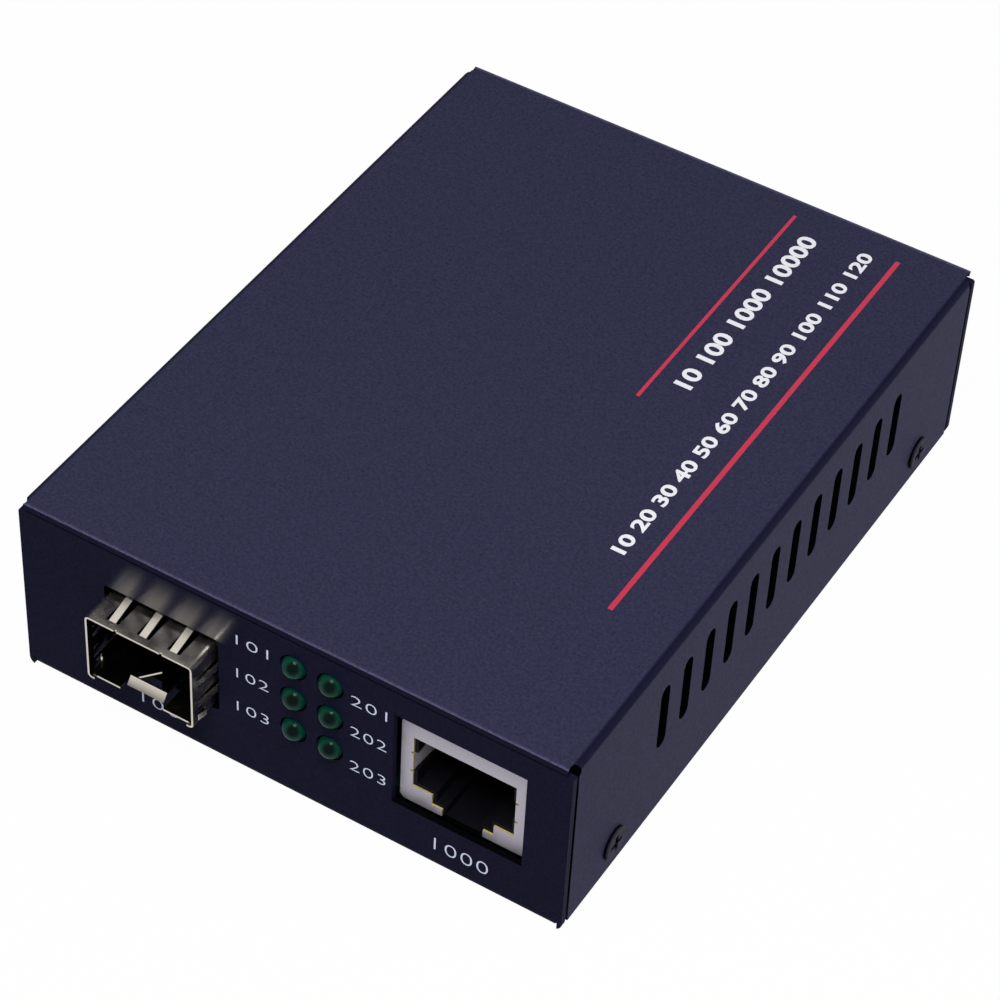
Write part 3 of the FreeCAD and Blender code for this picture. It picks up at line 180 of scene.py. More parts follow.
def mottle_group():
    """Colour in, colour out: soft patches that are lighter and darker by the spread."""
    group, start, end = new_group(
        "mottle",
        [("Color", "NodeSocketColor", (0.5, 0.5, 0.5, 1)), ("Scale", "NodeSocketFloat", 200.0),
         ("Spread", "NodeSocketFloat", 0.1)],
        [("Color", "NodeSocketColor"), ("Mask", "NodeSocketFloat")])
    place = add(group, "ShaderNodeTexCoord")
    noise = add(
        group, "ShaderNodeTexNoise",
        [("Vector", place.outputs["Object"]), ("Scale", start.outputs["Scale"])],
        Detail=2.0, Roughness=0.6)
    centred = calculate(group, "SUBTRACT", noise.outputs["Fac"], noise_middle)
    scaled = calculate(group, "MULTIPLY", centred, start.outputs["Spread"])
    factor = calculate(group, "MULTIPLY_ADD", scaled, 2.0, 1.0)
    tinted = add(
        group, "ShaderNodeVectorMath", [(0, start.outputs["Color"]), (1, factor)], operation="MULTIPLY")
    group.links.new(tinted.outputs[0], end.inputs["Color"])
    group.links.new(noise.outputs["Fac"], end.inputs["Mask"])
    return group


mottle = mottle_group()
print("group:", mottle.name, [socket.name for socket in mottle.interface.items_tree])

# %% [markdown]
# Most finishes also have a fine texture that is felt rather than seen: the orange peel of a
# coat, the haze of a moulding.  Modelling it would take millions of faces.  A second group
# gives its height as fine noise, and a bump turns that height into a tilt of the surface.

# %% Group: grain
def grain_group():
    """Height of a fine random grain."""
    group, start, end = new_group(
        "grain", [("Scale", "NodeSocketFloat", 2000.0)], [("Height", "NodeSocketFloat")])
    place = add(group, "ShaderNodeTexCoord")
    noise = add(
        group, "ShaderNodeTexNoise",
        [("Vector", place.outputs["Object"]), ("Scale", start.outputs["Scale"])],
        Detail=1.0, Roughness=0.5)
    group.links.new(noise.outputs["Fac"], end.inputs["Height"])
    return group


grain = grain_group()
print("group:", grain.name, [socket.name for socket in grain.interface.items_tree])

# %% [markdown]
# A mask needs edges, and a hard edge looks cut out.  The third group is a soft step: 0 on one
# side, 1 on the other, and a smooth rise between.  Its two limits are lengths or cosines, so an
# edge is placed by a real size.  An upper limit below the lower one turns the step round.

# %% Group: soft step
def step_group():
    """0 below From, 1 above To, and a smooth rise between them."""
    group, start, end = new_group(
        "soft_step",
        [("Value", "NodeSocketFloat", 0.0), ("From", "NodeSocketFloat", 0.0),
         ("To", "NodeSocketFloat", 1.0)],
        [("Mask", "NodeSocketFloat")])
    rise = add(
        group, "ShaderNodeMapRange",
        [("Value", start.outputs["Value"]), ("From Min", start.outputs["From"]),
         ("From Max", start.outputs["To"])],
        interpolation_type="SMOOTHSTEP")
    group.links.new(rise.outputs["Result"], end.inputs["Mask"])
    return group


soft_step = step_group()


def step(tree, value, start, end):
    """The soft step of a value: 0 at the start and 1 at the end."""
    return use_group(tree, soft_step, [("Value", value)], From=start, To=end).outputs["Mask"]


print("group:", soft_step.name, [socket.name for socket in soft_step.interface.items_tree])

# %% [markdown]
# The case is steel under a blue-black powder coat.  Over the outside of the roof's side folds
# it gets a dark painted shade, and on the upper edges of its two ends a pale painted highlight.
# Painting those places by hand would be lost when a size changes.  They are known from the size
# of the cover, so two masks find them from the coordinates: each is the product of two soft steps.

# %% Painted shade on the folds and painted highlight on the edges of the coat
# Dark painted shade for the folds, and a pale painted highlight for the end edges
fold_shade_colour = (0.007, 0.0075, 0.022, 1)
edge_highlight_colour = (0.120, 0.110, 0.200, 1)
cover_fold = 1.0 * MM
fold_shade_fade = 0.45 * cover_fold
edge_highlight_reach = (0.5 * MM, 0.1 * MM)
edge_highlight_depth = (0.12 * MM, 0.02 * MM)
cover_low, cover_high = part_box("top_cover")


def fold_shade_mask(tree, axes):
    """1 on the outside of the roof's two side folds, where shade is painted."""
    edge = cover_high.x - cover_fold
    level = cover_high.z - cover_fold
    sideways = calculate(tree, "ABSOLUTE", axes["X"])
    across = step(tree, sideways, edge, edge + fold_shade_fade)
    upward = step(tree, axes["Z"], level, level + fold_shade_fade)
    return product(tree, across, upward)


def edge_highlight_mask(tree, axes):
    """1 on the roof's upper edges, above the front and rear panels, where a highlight is painted."""
    endways = calculate(tree, "ABSOLUTE", axes["Y"])
    near = step(tree, endways, cover_high.y - edge_highlight_reach[0], cover_high.y - edge_highlight_reach[1])
    high = step(tree, axes["Z"], cover_high.z - edge_highlight_depth[0], cover_high.z - edge_highlight_depth[1])
    return product(tree, near, high)


print("cover in mm:", [round(v / MM, 2) for v in cover_high - cover_low])

# %% [markdown]
# On the real panel the cage's bright roof shows as a soft reflection, in lobes that follow its
# contact fingers.  The coat here is too matt to mirror it.  Making the whole panel glossier
# would brighten it everywhere, so only a patch above the cage gets gloss.  Its lobes and their
# lean are set for a look from above the front right corner: it is an imitation.

# %% Glossy patch above the cage
cage_low, cage_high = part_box("cage_shell")
gloss_height = 6.0 * MM
gloss_foot = 0.2 * MM
gloss_edge = 1.6 * MM
gloss_shift = 0.7 * MM
gloss_lean = 0.46
lobe_pitch = 4.05 * MM
lobe_full = -0.4
gap_gloss = 0.15


def gloss_mask(tree, axes):
    """The patch's lobes, fading out upwards and sideways, on the front half only."""
    middle = (cage_low.x + cage_high.x) / 2 + gloss_shift
    half = (cage_high.x - cage_low.x) / 2 - gloss_shift
    leaned = calculate(tree, "MULTIPLY_ADD", axes["Z"], -gloss_lean, axes["X"])
    offset = calculate(tree, "SUBTRACT", leaned, middle - gloss_lean * cage_high.z)
    sideways = calculate(tree, "ABSOLUTE", offset)
    outside = step(tree, sideways, half - gloss_edge, half + gloss_edge)
    inside = calculate(tree, "SUBTRACT", 1.0, outside)
    started = step(tree, axes["Z"], cage_high.z - gloss_foot, cage_high.z + gloss_foot)
    ended = step(tree, axes["Z"], cage_high.z, cage_high.z + gloss_height)
    band = calculate(tree, "SUBTRACT", started, ended, use_clamp=True)
    front = step(tree, axes["Y"], 1.0 * MM, 0.0)
    phase = calculate(tree, "MULTIPLY", offset, 2 * math.pi / lobe_pitch)
    wave = calculate(tree, "COSINE", phase)
    lobes = add(
        tree, "ShaderNodeMapRange", [("Value", wave)], From_Min=1.0, From_Max=lobe_full, To_Min=gap_gloss)
    return product(tree, inside, band, front, lobes.outputs["Result"])


print("cage in mm:", [round(v / MM, 2) for v in cage_high - cage_low])

# %% [markdown]
# Powder melts into a fine orange-peel skin, so the coat gets a shallow bump and its colour
# flickers with a grain of the same size.  The tray, whose front is the panel, gets a darker
# colour than the cover: painted shade for a panel that faces away from the light.  One
# function makes both coats and takes the colour, so the skin stays the same.

# %% Powder coat
coat_grain_size = 0.33 * MM
coat_bump = 0.05 * MM
cover_colour = (0.0300, 0.0300, 0.0630)
# The tray's colour is darker than the cover's: painted shade.
shaded_tray_colour = (0.0082, 0.0082, 0.0235)


def object_axes(tree):
    """X, Y and Z of the place on the object, in metres."""
    place = add(tree, "ShaderNodeTexCoord")
    return add(tree, "ShaderNodeSeparateXYZ", [("Vector", place.outputs["Object"])]).outputs


def blend(tree, mask, first, second):
    """The second colour where the mask is 1, and the first where it is 0."""
    mixed = add(tree, "ShaderNodeMixRGB", [("Fac", mask), ("Color1", first)], Color2=second)
    return mixed.outputs["Color"]


def powder_coat(name, colour, glossy_patch=False):
    """Powder coat with an orange-peel skin, painted shade on the folds and a painted highlight on the end
    edges.
    """
    material, tree, shader = new_material(
        name, Roughness=0.5, Specular_IOR_Level=0.012, Specular_Tint=(0.8, 0.8, 1.0, 1))
    axes = object_axes(tree)
    tone = use_group(tree, mottle, Color=(*colour, 1), Scale=1 / coat_grain_size, Spread=0.6)
    # The fold mask paints shade, and the speckled edge mask paints a pale highlight.
    speckled_highlight = product(tree, edge_highlight_mask(tree, axes), tone.outputs["Mask"])
    fold_shaded = blend(tree, fold_shade_mask(tree, axes), tone.outputs["Color"], fold_shade_colour)
    edge_highlighted = blend(tree, speckled_highlight, fold_shaded, edge_highlight_colour)
    fine = use_group(tree, grain, Scale=1 / coat_grain_size)
    bump = add(
        tree, "ShaderNodeBump", [("Height", fine.outputs["Height"])], Strength=0.5, Distance=coat_bump)
    tree.links.new(edge_highlighted, shader.inputs["Base Color"])
    tree.links.new(bump.outputs["Normal"], shader.inputs["Normal"])
    if glossy_patch:
        shader.inputs["Coat IOR"].default_value = 2.3
        shader.inputs["Coat Roughness"].default_value = 0.18
        shader.inputs["Coat Tint"].default_value = (1.0, 0.86, 0.72, 1)
        tree.links.new(gloss_mask(tree, axes), shader.inputs["Coat Weight"])
    return material


cover_coat = powder_coat("cover_coat", cover_colour)
shaded_tray_coat = powder_coat("shaded_tray_coat", shaded_tray_colour, glossy_patch=True)
print("coats:", cover_coat.name, shaded_tray_coat.name)

# %% [markdown]
# The remaining finishes share one recipe: a mottled colour, a roughness that follows the same
# patches, and a grain for the bump.  Only the numbers differ between nickel sheet, gold wire,
# a moulding and a solder mask, so one function takes those numbers.

# %% Shared finish
noise_range = (0.3, 0.7)
rough_swing = 0.2
bump_strength = 0.3


def finish(name, colour, roughness, grain_size, depth, metallic=0.0, spread=0.12, patch=2.0 * MM, **shader):
    """A finish from a colour, a roughness, a grain size and a bump depth."""
    material, tree, principled = new_material(name, Metallic=metallic, **shader)
    tone = use_group(tree, mottle, Color=(*colour, 1), Scale=1 / patch, Spread=spread)
    rough = add(
        tree, "ShaderNodeMapRange", [("Value", tone.outputs["Mask"])],
        From_Min=noise_range[0], From_Max=noise_range[1],
        To_Min=roughness * (1 - rough_swing), To_Max=roughness * (1 + rough_swing))
    skin = use_group(tree, grain, Scale=1 / grain_size)
    bump = add(
        tree, "ShaderNodeBump", [("Height", skin.outputs["Height"])], Strength=bump_strength,
        Distance=depth)
    tree.links.new(tone.outputs["Color"], principled.inputs["Base Color"])
    tree.links.new(rough.outputs["Result"], principled.inputs["Roughness"])
    tree.links.new(bump.outputs["Normal"], principled.inputs["Normal"])
    return material


print("finish: roughness swings by", rough_swing, "of itself")

# %% [markdown]
# Some sheets need a second tone.  It could be a second material on some faces, but the faces
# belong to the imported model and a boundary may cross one.  So a mask mixes the tone in.  The
# two masks of this cell go by the way a face points: towards the middle of a box, or along an
# axis.

# %% Second tone: faces
inward_limits = (-1.0 * MM, -2.0 * MM)
towards_axis = (0.35, 0.85)


def second_tone(material, mask, colour):
    """Mix another colour into a finish where the mask is 1."""
    tree = material.node_tree
    socket = tree.nodes["Principled BSDF"].inputs["Base Color"]
    tree.links.new(blend(tree, mask, socket.links[0].from_socket, (*colour, 1)), socket)


def normal_axes(tree, kind="True Normal"):
    """X, Y and Z of the direction that the surface looks in."""
    geometry = add(tree, "ShaderNodeNewGeometry")
    return add(tree, "ShaderNodeSeparateXYZ", [("Vector", geometry.outputs[kind])]).outputs


def inward_mask(tree, centre):
    """1 where a face points towards the centre line of a box that runs along Y."""
    geometry = add(tree, "ShaderNodeNewGeometry")
    place = add(tree, "ShaderNodeTexCoord")
    outward = add(tree, "ShaderNodeVectorMath", [(0, place.outputs["Object"])], operation="SUBTRACT")
    outward.inputs[1].default_value = centre
    across = add(tree, "ShaderNodeVectorMath", [(0, outward.outputs[0])], operation="MULTIPLY")
    across.inputs[1].default_value = (1, 0, 1)
    facing = add(
        tree, "ShaderNodeVectorMath", [(0, across.outputs[0]), (1, geometry.outputs["True Normal"])],
        operation="DOT_PRODUCT")
    return step(tree, facing.outputs["Value"], *inward_limits)


def facing_mask(tree, axis):
    """1 on surfaces that look along an axis, either way."""
    along = calculate(tree, "ABSOLUTE", normal_axes(tree, "Normal")[axis])
    return step(tree, along, *towards_axis)


print("inward from", [round(limit / MM, 1) for limit in inward_limits], "mm")

# %% [markdown]
# Three more masks also look at where the surface is: the cut edges of a sheet just behind its
# front, what lies deep under the outermost faces, and the walls of the slots in the cover's
# sides.  An edge or a wall is told from the sheet's face by the way it doesn't look.

# %% Second tone: edges, depths and slot walls
away_from_front = (0.7, 0.3)
away_from_side = (0.8, 0.4)


def cut_edge_mask(tree, front, depth):
    """1 on faces near the front that don't look forward."""
    forward = calculate(tree, "ABSOLUTE", normal_axes(tree)["Y"])
    sideways = step(tree, forward, *away_from_front)
    near = step(tree, object_axes(tree)["Y"], front + 1.2 * depth, front + depth)
    return product(tree, sideways, near)


def below_mask(tree, reach, depth):
    """1 on what lies deeper than the depth under the faces at plus and minus the reach in X."""
    sideways = calculate(tree, "ABSOLUTE", object_axes(tree)["X"])
    return step(tree, sideways, reach - depth, reach - 2 * depth)


def slot_wall_mask(tree, reach, sheet, low, high):
    """1 on the walls of the slots: in the side sheets, and not facing sideways."""
    sideways = calculate(tree, "ABSOLUTE", normal_axes(tree)["X"])
    cut = step(tree, sideways, *away_from_side)
    axes = object_axes(tree)
    reached = calculate(tree, "ABSOLUTE", axes["X"])
    side = step(tree, reached, reach - 2 * sheet, reach - 1.5 * sheet)
    above = step(tree, axes["Z"], low, low + sheet)
    below = step(tree, axes["Z"], high, high - sheet)
    return product(tree, cut, side, above, below)


print("masks:", [mask.__name__ for mask in (cut_edge_mask, below_mask, slot_wall_mask)])

# %% [markdown]
# Little light reaches the inside of the case, so through its openings it reads as black.  The
# inner faces of the cover and the tray, and the walls of the vents, get an almost black painted
# shade.  The ends of the cover get the tray's darker colour, painted shade like the panels that
# they meet.

# %% Painted shade on the case
# Almost black painted shade for the inside, the vent walls and recesses
painted_shade_black = (0.0012, 0.0012, 0.002)
case_middle = (cover_low + cover_high) / 2
cover_sheet = 0.8 * MM
slot_low = 4 * MM
slot_high = 23 * MM
cover_tree = cover_coat.node_tree
second_tone(cover_coat, facing_mask(cover_tree, "Y"), shaded_tray_colour)
shaded_slot_walls = slot_wall_mask(cover_tree, cover_high.x, cover_sheet, slot_low, slot_high)
second_tone(cover_coat, shaded_slot_walls, painted_shade_black)
second_tone(cover_coat, inward_mask(cover_tree, case_middle), painted_shade_black)
second_tone(shaded_tray_coat, inward_mask(shaded_tray_coat.node_tree, case_middle), painted_shade_black)
print("case middle in mm:", [round(v / MM, 2) for v in case_middle])

# %% [markdown]
# The screws are blackened, with painted shade in the cross recess and wherever the head lies
# deeper than its face.  The cage is nickel sheet, with painted shade on its inside.  The jack's
# tinned shield shows its brass core wherever it was cut.

# %% Painted shade on the screws and the cage, and brass on the jack
recess_depth = 0.1 * MM
brass_depth = 0.3 * MM
# Painted shade for the inside of the cage
cage_inside_shade = (0.07, 0.065, 0.055)
brass = (0.62, 0.52, 0.24)
screw_black = finish(
    "blackened_screw", (0.022, 0.020, 0.036), 0.45, 0.12 * MM, 0.01 * MM, Specular_IOR_Level=0.02)
screw_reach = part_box("cover_screws")[1].x
second_tone(screw_black, below_mask(screw_black.node_tree, screw_reach, recess_depth), painted_shade_black)
cage_sheet = finish("nickel_sheet", (0.60, 0.56, 0.49), 0.24, 0.25 * MM, 0.006 * MM, metallic=1.0)
cage_middle = (cage_low + cage_high) / 2
second_tone(cage_sheet, inward_mask(cage_sheet.node_tree, cage_middle), cage_inside_shade)
jack_sheet = finish("satin_tin_sheet", (0.46, 0.435, 0.50), 0.5, 0.15 * MM, 0.008 * MM, metallic=0.5)
jack_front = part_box("jack_shield")[0].y
second_tone(jack_sheet, cut_edge_mask(jack_sheet.node_tree, jack_front, brass_depth), brass)
print("screw reach and jack front in mm:", round(screw_reach / MM, 2), round(jack_front / MM, 2))

# %% [markdown]
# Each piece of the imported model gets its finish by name.  A table from finish to piece names
# reads like a parts list, and a line at the end names the pieces that the table leaves out.
# Only the six lamps should be there, because the scene's own lenses replace them.

# %% Finishes and the pieces that wear them
lamp_names = [side + "_" + row for side in ("left", "right") for row in ("bottom", "middle", "top")]
worn_by = [
    (cover_coat, ["top_cover"]),
    (shaded_tray_coat, ["base_tray"]),
    (screw_black, ["cover_screws"]),
    (cage_sheet, ["cage_shell", "cage_floor"]),
    (jack_sheet, ["jack_shield"]),
    (finish("gold_wire", (0.80, 0.58, 0.25), 0.22, 0.2 * MM, 0.004 * MM, metallic=1.0),
     ["jack_contacts", "host_contacts"]),
    (finish("black_moulding", (0.004, 0.004, 0.006), 0.5, 0.12 * MM, 0.012 * MM, Specular_IOR_Level=0.05),
     ["jack_housing", "host_connector", "lamp_holder", "power_housing"]),
    (finish("tinned_lead", (0.72, 0.72, 0.70), 0.3, 0.2 * MM, 0.006 * MM, metallic=1.0),
     ["power_pin", "power_contacts", "chip_pins", "transformer_pins", "memory_pins", "regulator_pins"]
     + ["leads_" + name for name in lamp_names]),
    (finish("zinc_plate", (0.62, 0.61, 0.56), 0.35, 0.2 * MM, 0.008 * MM, metallic=1.0),
     ["board_standoffs", "board_screws"]),
    (finish("solder_mask", (0.003, 0.022, 0.012), 0.4, 0.4 * MM, 0.01 * MM, patch=5 * MM), ["circuit_board"]),
    (finish("chip_epoxy", (0.022, 0.022, 0.024), 0.6, 0.08 * MM, 0.01 * MM),
     ["converter_chip", "memory_chip", "regulator", "line_transformer"]),
    (finish("crystal_can", (0.68, 0.68, 0.67), 0.28, 0.3 * MM, 0.006 * MM, metallic=1.0), ["crystal"]),
    (finish("ferrite", (0.07, 0.07, 0.075), 0.7, 0.1 * MM, 0.015 * MM), ["inductor"]),
    (finish("capacitor_sleeve", (0.018, 0.022, 0.06), 0.3, 0.5 * MM, 0.01 * MM),
     ["capacitor_1", "capacitor_2"]),
    (finish("glazed_resistor", (0.03, 0.03, 0.032), 0.3, 0.2 * MM, 0.006 * MM), ["chip_resistors"]),
    (finish("ceramic_capacitor", (0.36, 0.25, 0.15), 0.5, 0.15 * MM, 0.01 * MM), ["chip_capacitors"]),
]


def wear(piece, material):
    """The piece shows only this material."""
    piece.data.materials.clear()
    piece.data.materials.append(material)


for material, names in worn_by:
    for name in names:
        wear(nodes[name], material)
dressed = {name for _, names in worn_by for name in names}
print("dressed:", len(dressed), "left:", sorted(set(nodes) - dressed))

# %% [markdown]
# Each lamp is a moulded lens of tinted epoxy, with painted shade in its middle.  True clear
# epoxy would mostly show the white floor, so the lens is nearly opaque.  The painted shade is
# set by the direction that the dome looks in: forwards, up and a little to the right.

# %% Lens finish
lens_rim = (0.001, 0.042, 0.026, 1)
# Painted shade for the lens's middle
lens_shade = (0.0005, 0.004, 0.004, 1)
lens_patch = 1.2 * MM
shade_direction = Vector((0.30, -0.80, 0.52))
shade_limits = (0.80, 0.97)


def lens_material():
    """Tinted epoxy: glossy, barely clear, and darkest where shade is painted in its middle."""
    material, tree, shader = new_material(
        "green_epoxy", Roughness=0.1, IOR=1.5, Transmission_Weight=0.02, Specular_IOR_Level=0.05)
    geometry = add(tree, "ShaderNodeNewGeometry")
    towards = add(
        tree, "ShaderNodeVectorMath", [(0, geometry.outputs["Normal"])], operation="DOT_PRODUCT")
    towards.inputs[1].default_value = shade_direction
    middle = step(tree, towards.outputs["Value"], *shade_limits)
    tone = use_group(tree, mottle, Color=lens_rim, Scale=1 / lens_patch, Spread=0.2)
    tree.links.new(blend(tree, middle, tone.outputs["Color"], lens_shade), shader.inputs["Base Color"])
    return material


lens_finish = lens_material()
print("lens finish:", lens_finish.name)

# %% [markdown]
# The lenses and the print are the scene's own pieces.  Each is built as a bmesh, which is easy
# to edit, and turned into an object with its finish.  It has to move with the case if the case
# moves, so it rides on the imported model's root body.

# %% New pieces
def new_piece(name, mesh_builder, material):
    """Make an object from a bmesh, give it its finish and let it ride on the case."""
    mesh = bpy.data.meshes.new(name)
    mesh_builder.to_mesh(mesh)
    mesh_builder.free()
    piece = bpy.data.objects.new(name, mesh)
    bpy.context.scene.collection.objects.link(piece)
    piece.data.materials.append(material)
    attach(piece, "root")
    return piece


print("helper:", new_piece.__name__)

# %% [markdown]
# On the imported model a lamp's dome has a few flats; here it becomes smooth.  Its outline is a
# quarter circle, a straight barrel and a flange.  A sphere and a cylinder would have to be
# joined, so a spin of the outline's few vertices about the lamp's axis is the natural way.

# %% Lamp lens
lens_steps = 40
dome_steps = 12
flange_width = 0.4 * MM
flange_depth = 1.0 * MM
sharp_angle = math.radians(40)
merge_distance = 0.001 * MM


def lens_outline(low, high):
    """Half of the lens's section, from the tip of its dome back to its axis."""
    centre = (low + high) / 2
    flange_radius = (high.x - low.x) / 2
    radius = flange_radius - flange_width
    nose = low.y + radius
    flange_front = high.y - flange_depth
    outline = []
    for k in range(dome_steps + 1):
        angle = math.pi / 2 * k / dome_steps
        x = centre.x + radius * math.sin(angle)
        outline.append(Vector((x, nose - radius * math.cos(angle), centre.z)))
    for reach, y in (
            (radius, flange_front), (flange_radius, flange_front), (flange_radius, high.y), (0, high.y)):
        outline.append(Vector((centre.x + reach, y, centre.z)))
    return outline


def lamp_lens(name, material):
    """Spin the lens's half outline round the lamp's axis, which runs along Y."""
    low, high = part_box("lamp_" + name)
    bm = bmesh.new()
    verts = [bm.verts.new(point) for point in lens_outline(low, high)]
    edges = [bm.edges.new(pair) for pair in zip(verts, verts[1:])]
    bmesh.ops.spin(
        bm, geom=verts + edges, cent=(low + high) / 2, axis=(0, 1, 0), dvec=(0, 0, 0),
        angle=2 * math.pi, steps=lens_steps, use_merge=True, use_duplicate=False)
    bmesh.ops.remove_doubles(bm, verts=bm.verts, dist=merge_distance)
    bmesh.ops.recalc_face_normals(bm, faces=bm.faces)
    for face in bm.faces:
        face.smooth = True
    for edge in bm.edges:
        edge.smooth = edge.calc_face_angle(0) < sharp_angle
    return new_piece("lens_" + name, bm, material)


for name in lamp_names:
    lens = lamp_lens(name, lens_finish)
    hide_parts("lamp_" + name)
    print(lens.name, len(lens.data.polygons), "faces")

# %% [markdown]
# The print on the roof is two red lines with rows of white marks between them, and each lamp
# and socket has a small white label.  Ink could be a mask in the coat, but then it would have
# no edge and no name of its own.  So each mark is a very thin solid that lies on the coat.

# %% Ink
ink_thickness = 0.03 * MM


def ink(name, colour):
    """Screen-printed ink: matte, slightly uneven in density."""
    return finish(name, colour, 0.5, 0.12 * MM, 0.008 * MM, spread=0.10, patch=0.5 * MM)


red_ink = ink("red_ink", (0.47, 0.013, 0.052))
white_ink = ink("white_ink", (0.80, 0.80, 0.84))
label_ink = ink("label_ink", (0.70, 0.77, 0.96))
print("inks:", red_ink.name, white_ink.name, label_ink.name)

# %% [markdown]
# The lines are straight strips, so a unit cube that is scaled and moved is all they need.

# %% Printed lines
roof = cover_high.z


def printed_bar(name, x, width, y0, y1, material):
    """A thin bar of ink on the roof that runs along Y."""
    bm = bmesh.new()
    bmesh.ops.create_cube(bm, size=1)
    bmesh.ops.scale(bm, verts=bm.verts, vec=(width, y1 - y0, ink_thickness))
    bmesh.ops.translate(bm, verts=bm.verts, vec=(x, (y0 + y1) / 2, roof + ink_thickness / 2))
    return new_piece(name, bm, material)


thin_line = printed_bar("print_thin_line", 12.55 * MM, 0.45 * MM, 5.8 * MM, 44.1 * MM, red_ink)
thick_line = printed_bar("print_thick_line", 26.82 * MM, 0.62 * MM, -24.9 * MM, 43.5 * MM, red_ink)
print("lines:", thin_line.name, thick_line.name)

# %% [markdown]
# The marks are plain numbers.  Figures are hard to draw as outlines, so they are made as text,
# turned into a mesh, fitted to a length and a height, and placed by a matrix.  Its three
# directions are the way the row runs, the way its tops point, and out of the surface.

# %% Printed numbers
figure_depth = 1.0
curve_steps = 4
roof_weight = 0.03


def figure_mesh(name, words, weight, spacing):
    """Text as a mesh, one unit deep and still at its own size."""
    curve = bpy.data.curves.new(name, "FONT")
    curve.body = words
    curve.offset = weight
    curve.space_character = spacing
    curve.extrude = figure_depth / 2
    curve.resolution_u = curve_steps
    holder = bpy.data.objects.new(name, curve)
    bpy.context.scene.collection.objects.link(holder)
    bpy.context.view_layer.update()
    depsgraph = bpy.context.evaluated_depsgraph_get()
    mesh = bpy.data.meshes.new_from_object(holder.evaluated_get(depsgraph))
    bpy.data.objects.remove(holder)
    return mesh


def printed_number(
        name, words, corner, along, upwards, length, height, weight, spacing=1.0, colour=white_ink):
    """A row of figures: corner is the start of its base line, along and upwards its directions."""
    mesh = figure_mesh(name, words, weight, spacing)
    xs = [v.co.x for v in mesh.vertices]
    ys = [v.co.y for v in mesh.vertices]
    fit = Matrix.Diagonal((length / (max(xs) - min(xs)), height / (max(ys) - min(ys)), ink_thickness, 1))
    start = Matrix.Translation((-min(xs), -min(ys), figure_depth / 2))
    turn = Matrix((along, upwards, along.cross(upwards))).transposed().to_4x4()
    mesh.transform(Matrix.Translation(corner) @ turn @ fit @ start)
    bm = bmesh.new()
    bm.from_mesh(mesh)
    bmesh.ops.remove_doubles(bm, verts=bm.verts, dist=merge_distance)
    return new_piece(name, bm, colour)


to_rear = Vector((0, 1, 0))
to_left = Vector((-1, 0, 0))
rows = [
    ("print_title", "10 100 1000 10000", 17.2, 10.0, 31.5, 2.35),
    ("print_scale", "10 20 30 40 50 60 70 80 90 100 110 120", 24.1, -17.0, 59.7, 1.9),
]
for name, words, x, y, length, height in rows:
    row = printed_number(
        name, words, Vector((x * MM, y * MM, roof)), to_rear, to_left, length * MM, height * MM,
        roof_weight)
    print(row.name, len(row.data.polygons), "faces")

# %% [markdown]
# The front labels sit beside the lamps and under the sockets.  Their face is the front panel,
# so their row runs along +X and their tops point up.  They are finer than the roof's figures:
# a negative weight thins the strokes, and the figures stand a little further apart.

# %% Front labels
panel_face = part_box("base_tray")[0].y
to_right = Vector((1, 0, 0))
to_top = Vector((0, 0, 1))
label_weight = -0.018
label_spacing = 1.1
labels = [
    ("print_lamp_1", "101", -6.6, 20.4, 4.2, 1.45), ("print_lamp_2", "102", -6.6, 15.1, 4.2, 1.45),
    ("print_lamp_3", "103", -6.6, 9.75, 4.2, 1.45), ("print_lamp_4", "201", 8.2, 19.85, 4.6, 1.5),
    ("print_lamp_5", "202", 8.2, 14.9, 4.6, 1.5), ("print_lamp_6", "203", 8.2, 9.35, 4.6, 1.5),
    ("print_jack", "1000", 19.2, 3.1, 6.9, 1.9), ("print_cage", "100", -19.6, 3.1, 5.0, 1.6),
]
for name, words, x, z, length, height in labels:
    corner = Vector((x * MM, panel_face, z * MM))
    printed_number(
        name, words, corner, to_right, to_top, length * MM, height * MM, label_weight, label_spacing,
        label_ink)
print("labels:", len(labels))

# %% [markdown]
# The floor is a pale plane that belongs to the stage, not to the object.  It lies a hair below
# the underside, so that the two don't share a plane.  A lit floor alone would look grey: to
# the camera, to gloss and to clear pieces almost all of it glows evenly, and the small lit
# share keeps a faint shadow.

# %% Floor
floor_reach = 3.0
floor_drop = 0.05 * MM
glow_share = 0.98


def seen_mask(tree):
    """1 for the camera's own rays, and for rays that a glossy or clear surface sends on."""
    path = add(tree, "ShaderNodeLightPath")
    seen = calculate(tree, "MAXIMUM", path.outputs["Is Camera Ray"], path.outputs["Is Glossy Ray"])
    return calculate(tree, "MAXIMUM", seen, path.outputs["Is Transmission Ray"])


def floor_material():
    """Pale floor that keeps the object's shadow."""
    material, tree, shader = new_material("pale_floor", Roughness=0.9, Specular_IOR_Level=0.1)
    shader.inputs["Base Color"].default_value = (0.62, 0.62, 0.63, 1)
    glow = add(tree, "ShaderNodeEmission", Color=(1, 1, 1, 1), Strength=1.0)
    share = calculate(tree, "MULTIPLY", seen_mask(tree), glow_share)
    mixed = add(
        tree, "ShaderNodeMixShader",
        [(0, share), (1, shader.outputs["BSDF"]), (2, glow.outputs["Emission"])])
    tree.links.new(mixed.outputs[0], tree.nodes["Material Output"].inputs["Surface"])
    return material


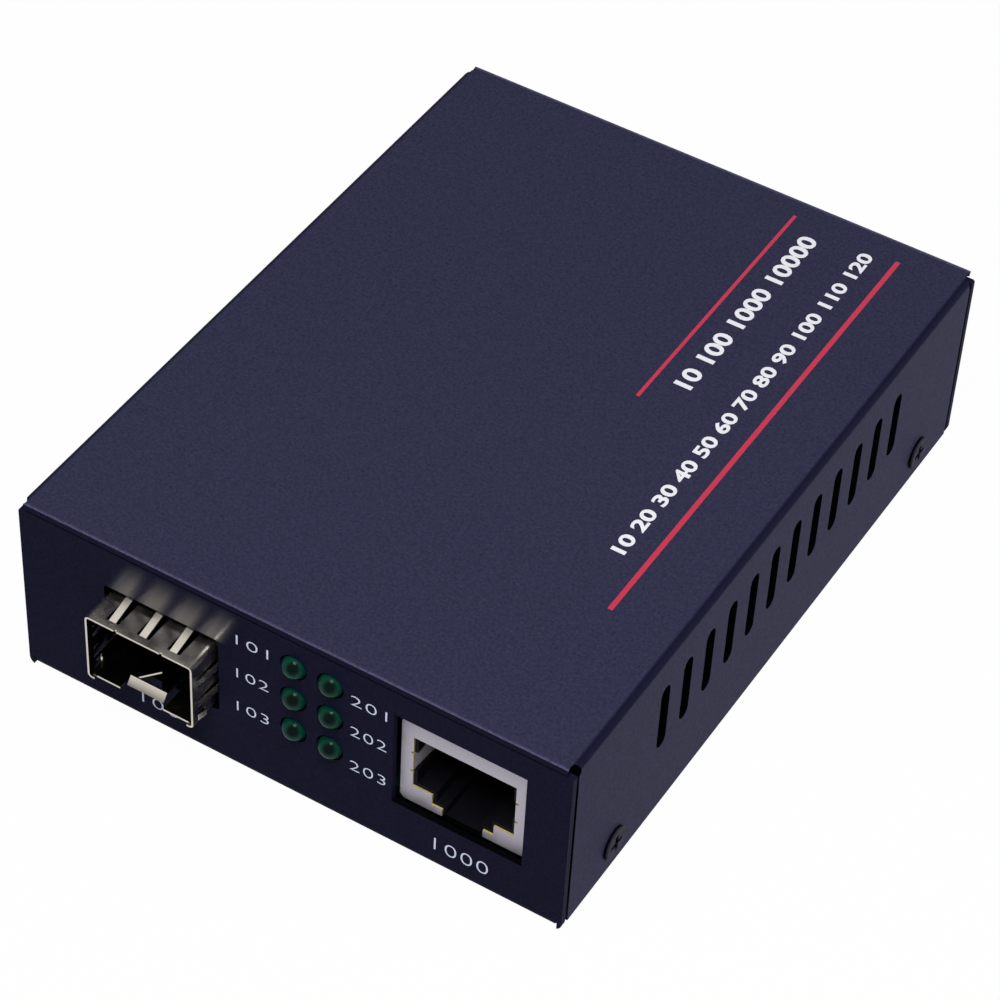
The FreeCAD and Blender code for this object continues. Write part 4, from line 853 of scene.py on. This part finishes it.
bm = bmesh.new()
bmesh.ops.create_grid(bm, x_segments=1, y_segments=1, size=floor_reach)
bmesh.ops.translate(bm, verts=bm.verts, vec=(0, 0, -floor_drop))
floor_mesh = bpy.data.meshes.new("floor")
bm.to_mesh(floor_mesh)
bm.free()
floor = bpy.data.objects.new("floor", floor_mesh)
bpy.context.scene.collection.objects.link(floor)
floor.data.materials.append(floor_material())
print("floor:", round(floor.dimensions.x, 2), "m wide")

# %% [markdown]
# The light is a white studio.  Its sky is plain white to the camera, to gloss and to clear
# pieces.  As a light source it is much dimmer, because a full white sky would wash out the
# dark coat.

# %% Sky
sky_strength = 0.22


def studio_sky():
    """White to camera, gloss and clear rays, and dimmer as a light source."""
    world = bpy.data.worlds.new("studio")
    world.use_nodes = True
    tree = world.node_tree
    tree.nodes.clear()
    lit = add(tree, "ShaderNodeBackground", Color=(0.95, 0.97, 1, 1), Strength=sky_strength)
    shown = add(tree, "ShaderNodeBackground", Color=(1, 1, 1, 1), Strength=1.0)
    mixed = add(
        tree, "ShaderNodeMixShader",
        [(0, seen_mask(tree)), (1, lit.outputs["Background"]), (2, shown.outputs["Background"])])
    add(tree, "ShaderNodeOutputWorld", [("Surface", mixed.outputs[0])])
    return world


bpy.context.scene.world = studio_sky()
print("sky:", bpy.context.scene.world.name)

# %% [markdown]
# Two round lamps shape the case.  The key hangs high in front, a little to the right, and
# lights the roof.  The second stands low at the right rear and draws the vented side.  Both
# are broad, so that their highlights have soft edges.

# %% Lamps
lamp_target = Vector((0, 0, 0.01))


def area_lamp(name, place, size, power):
    """A round area lamp that faces the case."""
    data = bpy.data.lights.new(name, "AREA")
    data.shape = "DISK"
    data.size = size
    data.energy = power
    lamp = bpy.data.objects.new(name, data)
    bpy.context.scene.collection.objects.link(lamp)
    lamp.location = place
    lamp.rotation_mode = "QUATERNION"
    lamp.rotation_quaternion = (Vector(place) - lamp_target).to_track_quat("Z", "Y")
    return lamp


key = area_lamp("key", (0.08, -0.20, 0.45), 0.22, 2.0)
side = area_lamp("side", (0.45, 0.35, 0.06), 0.30, 1.6)
print("lamps in watts:", key.data.energy, round(side.data.energy, 2))
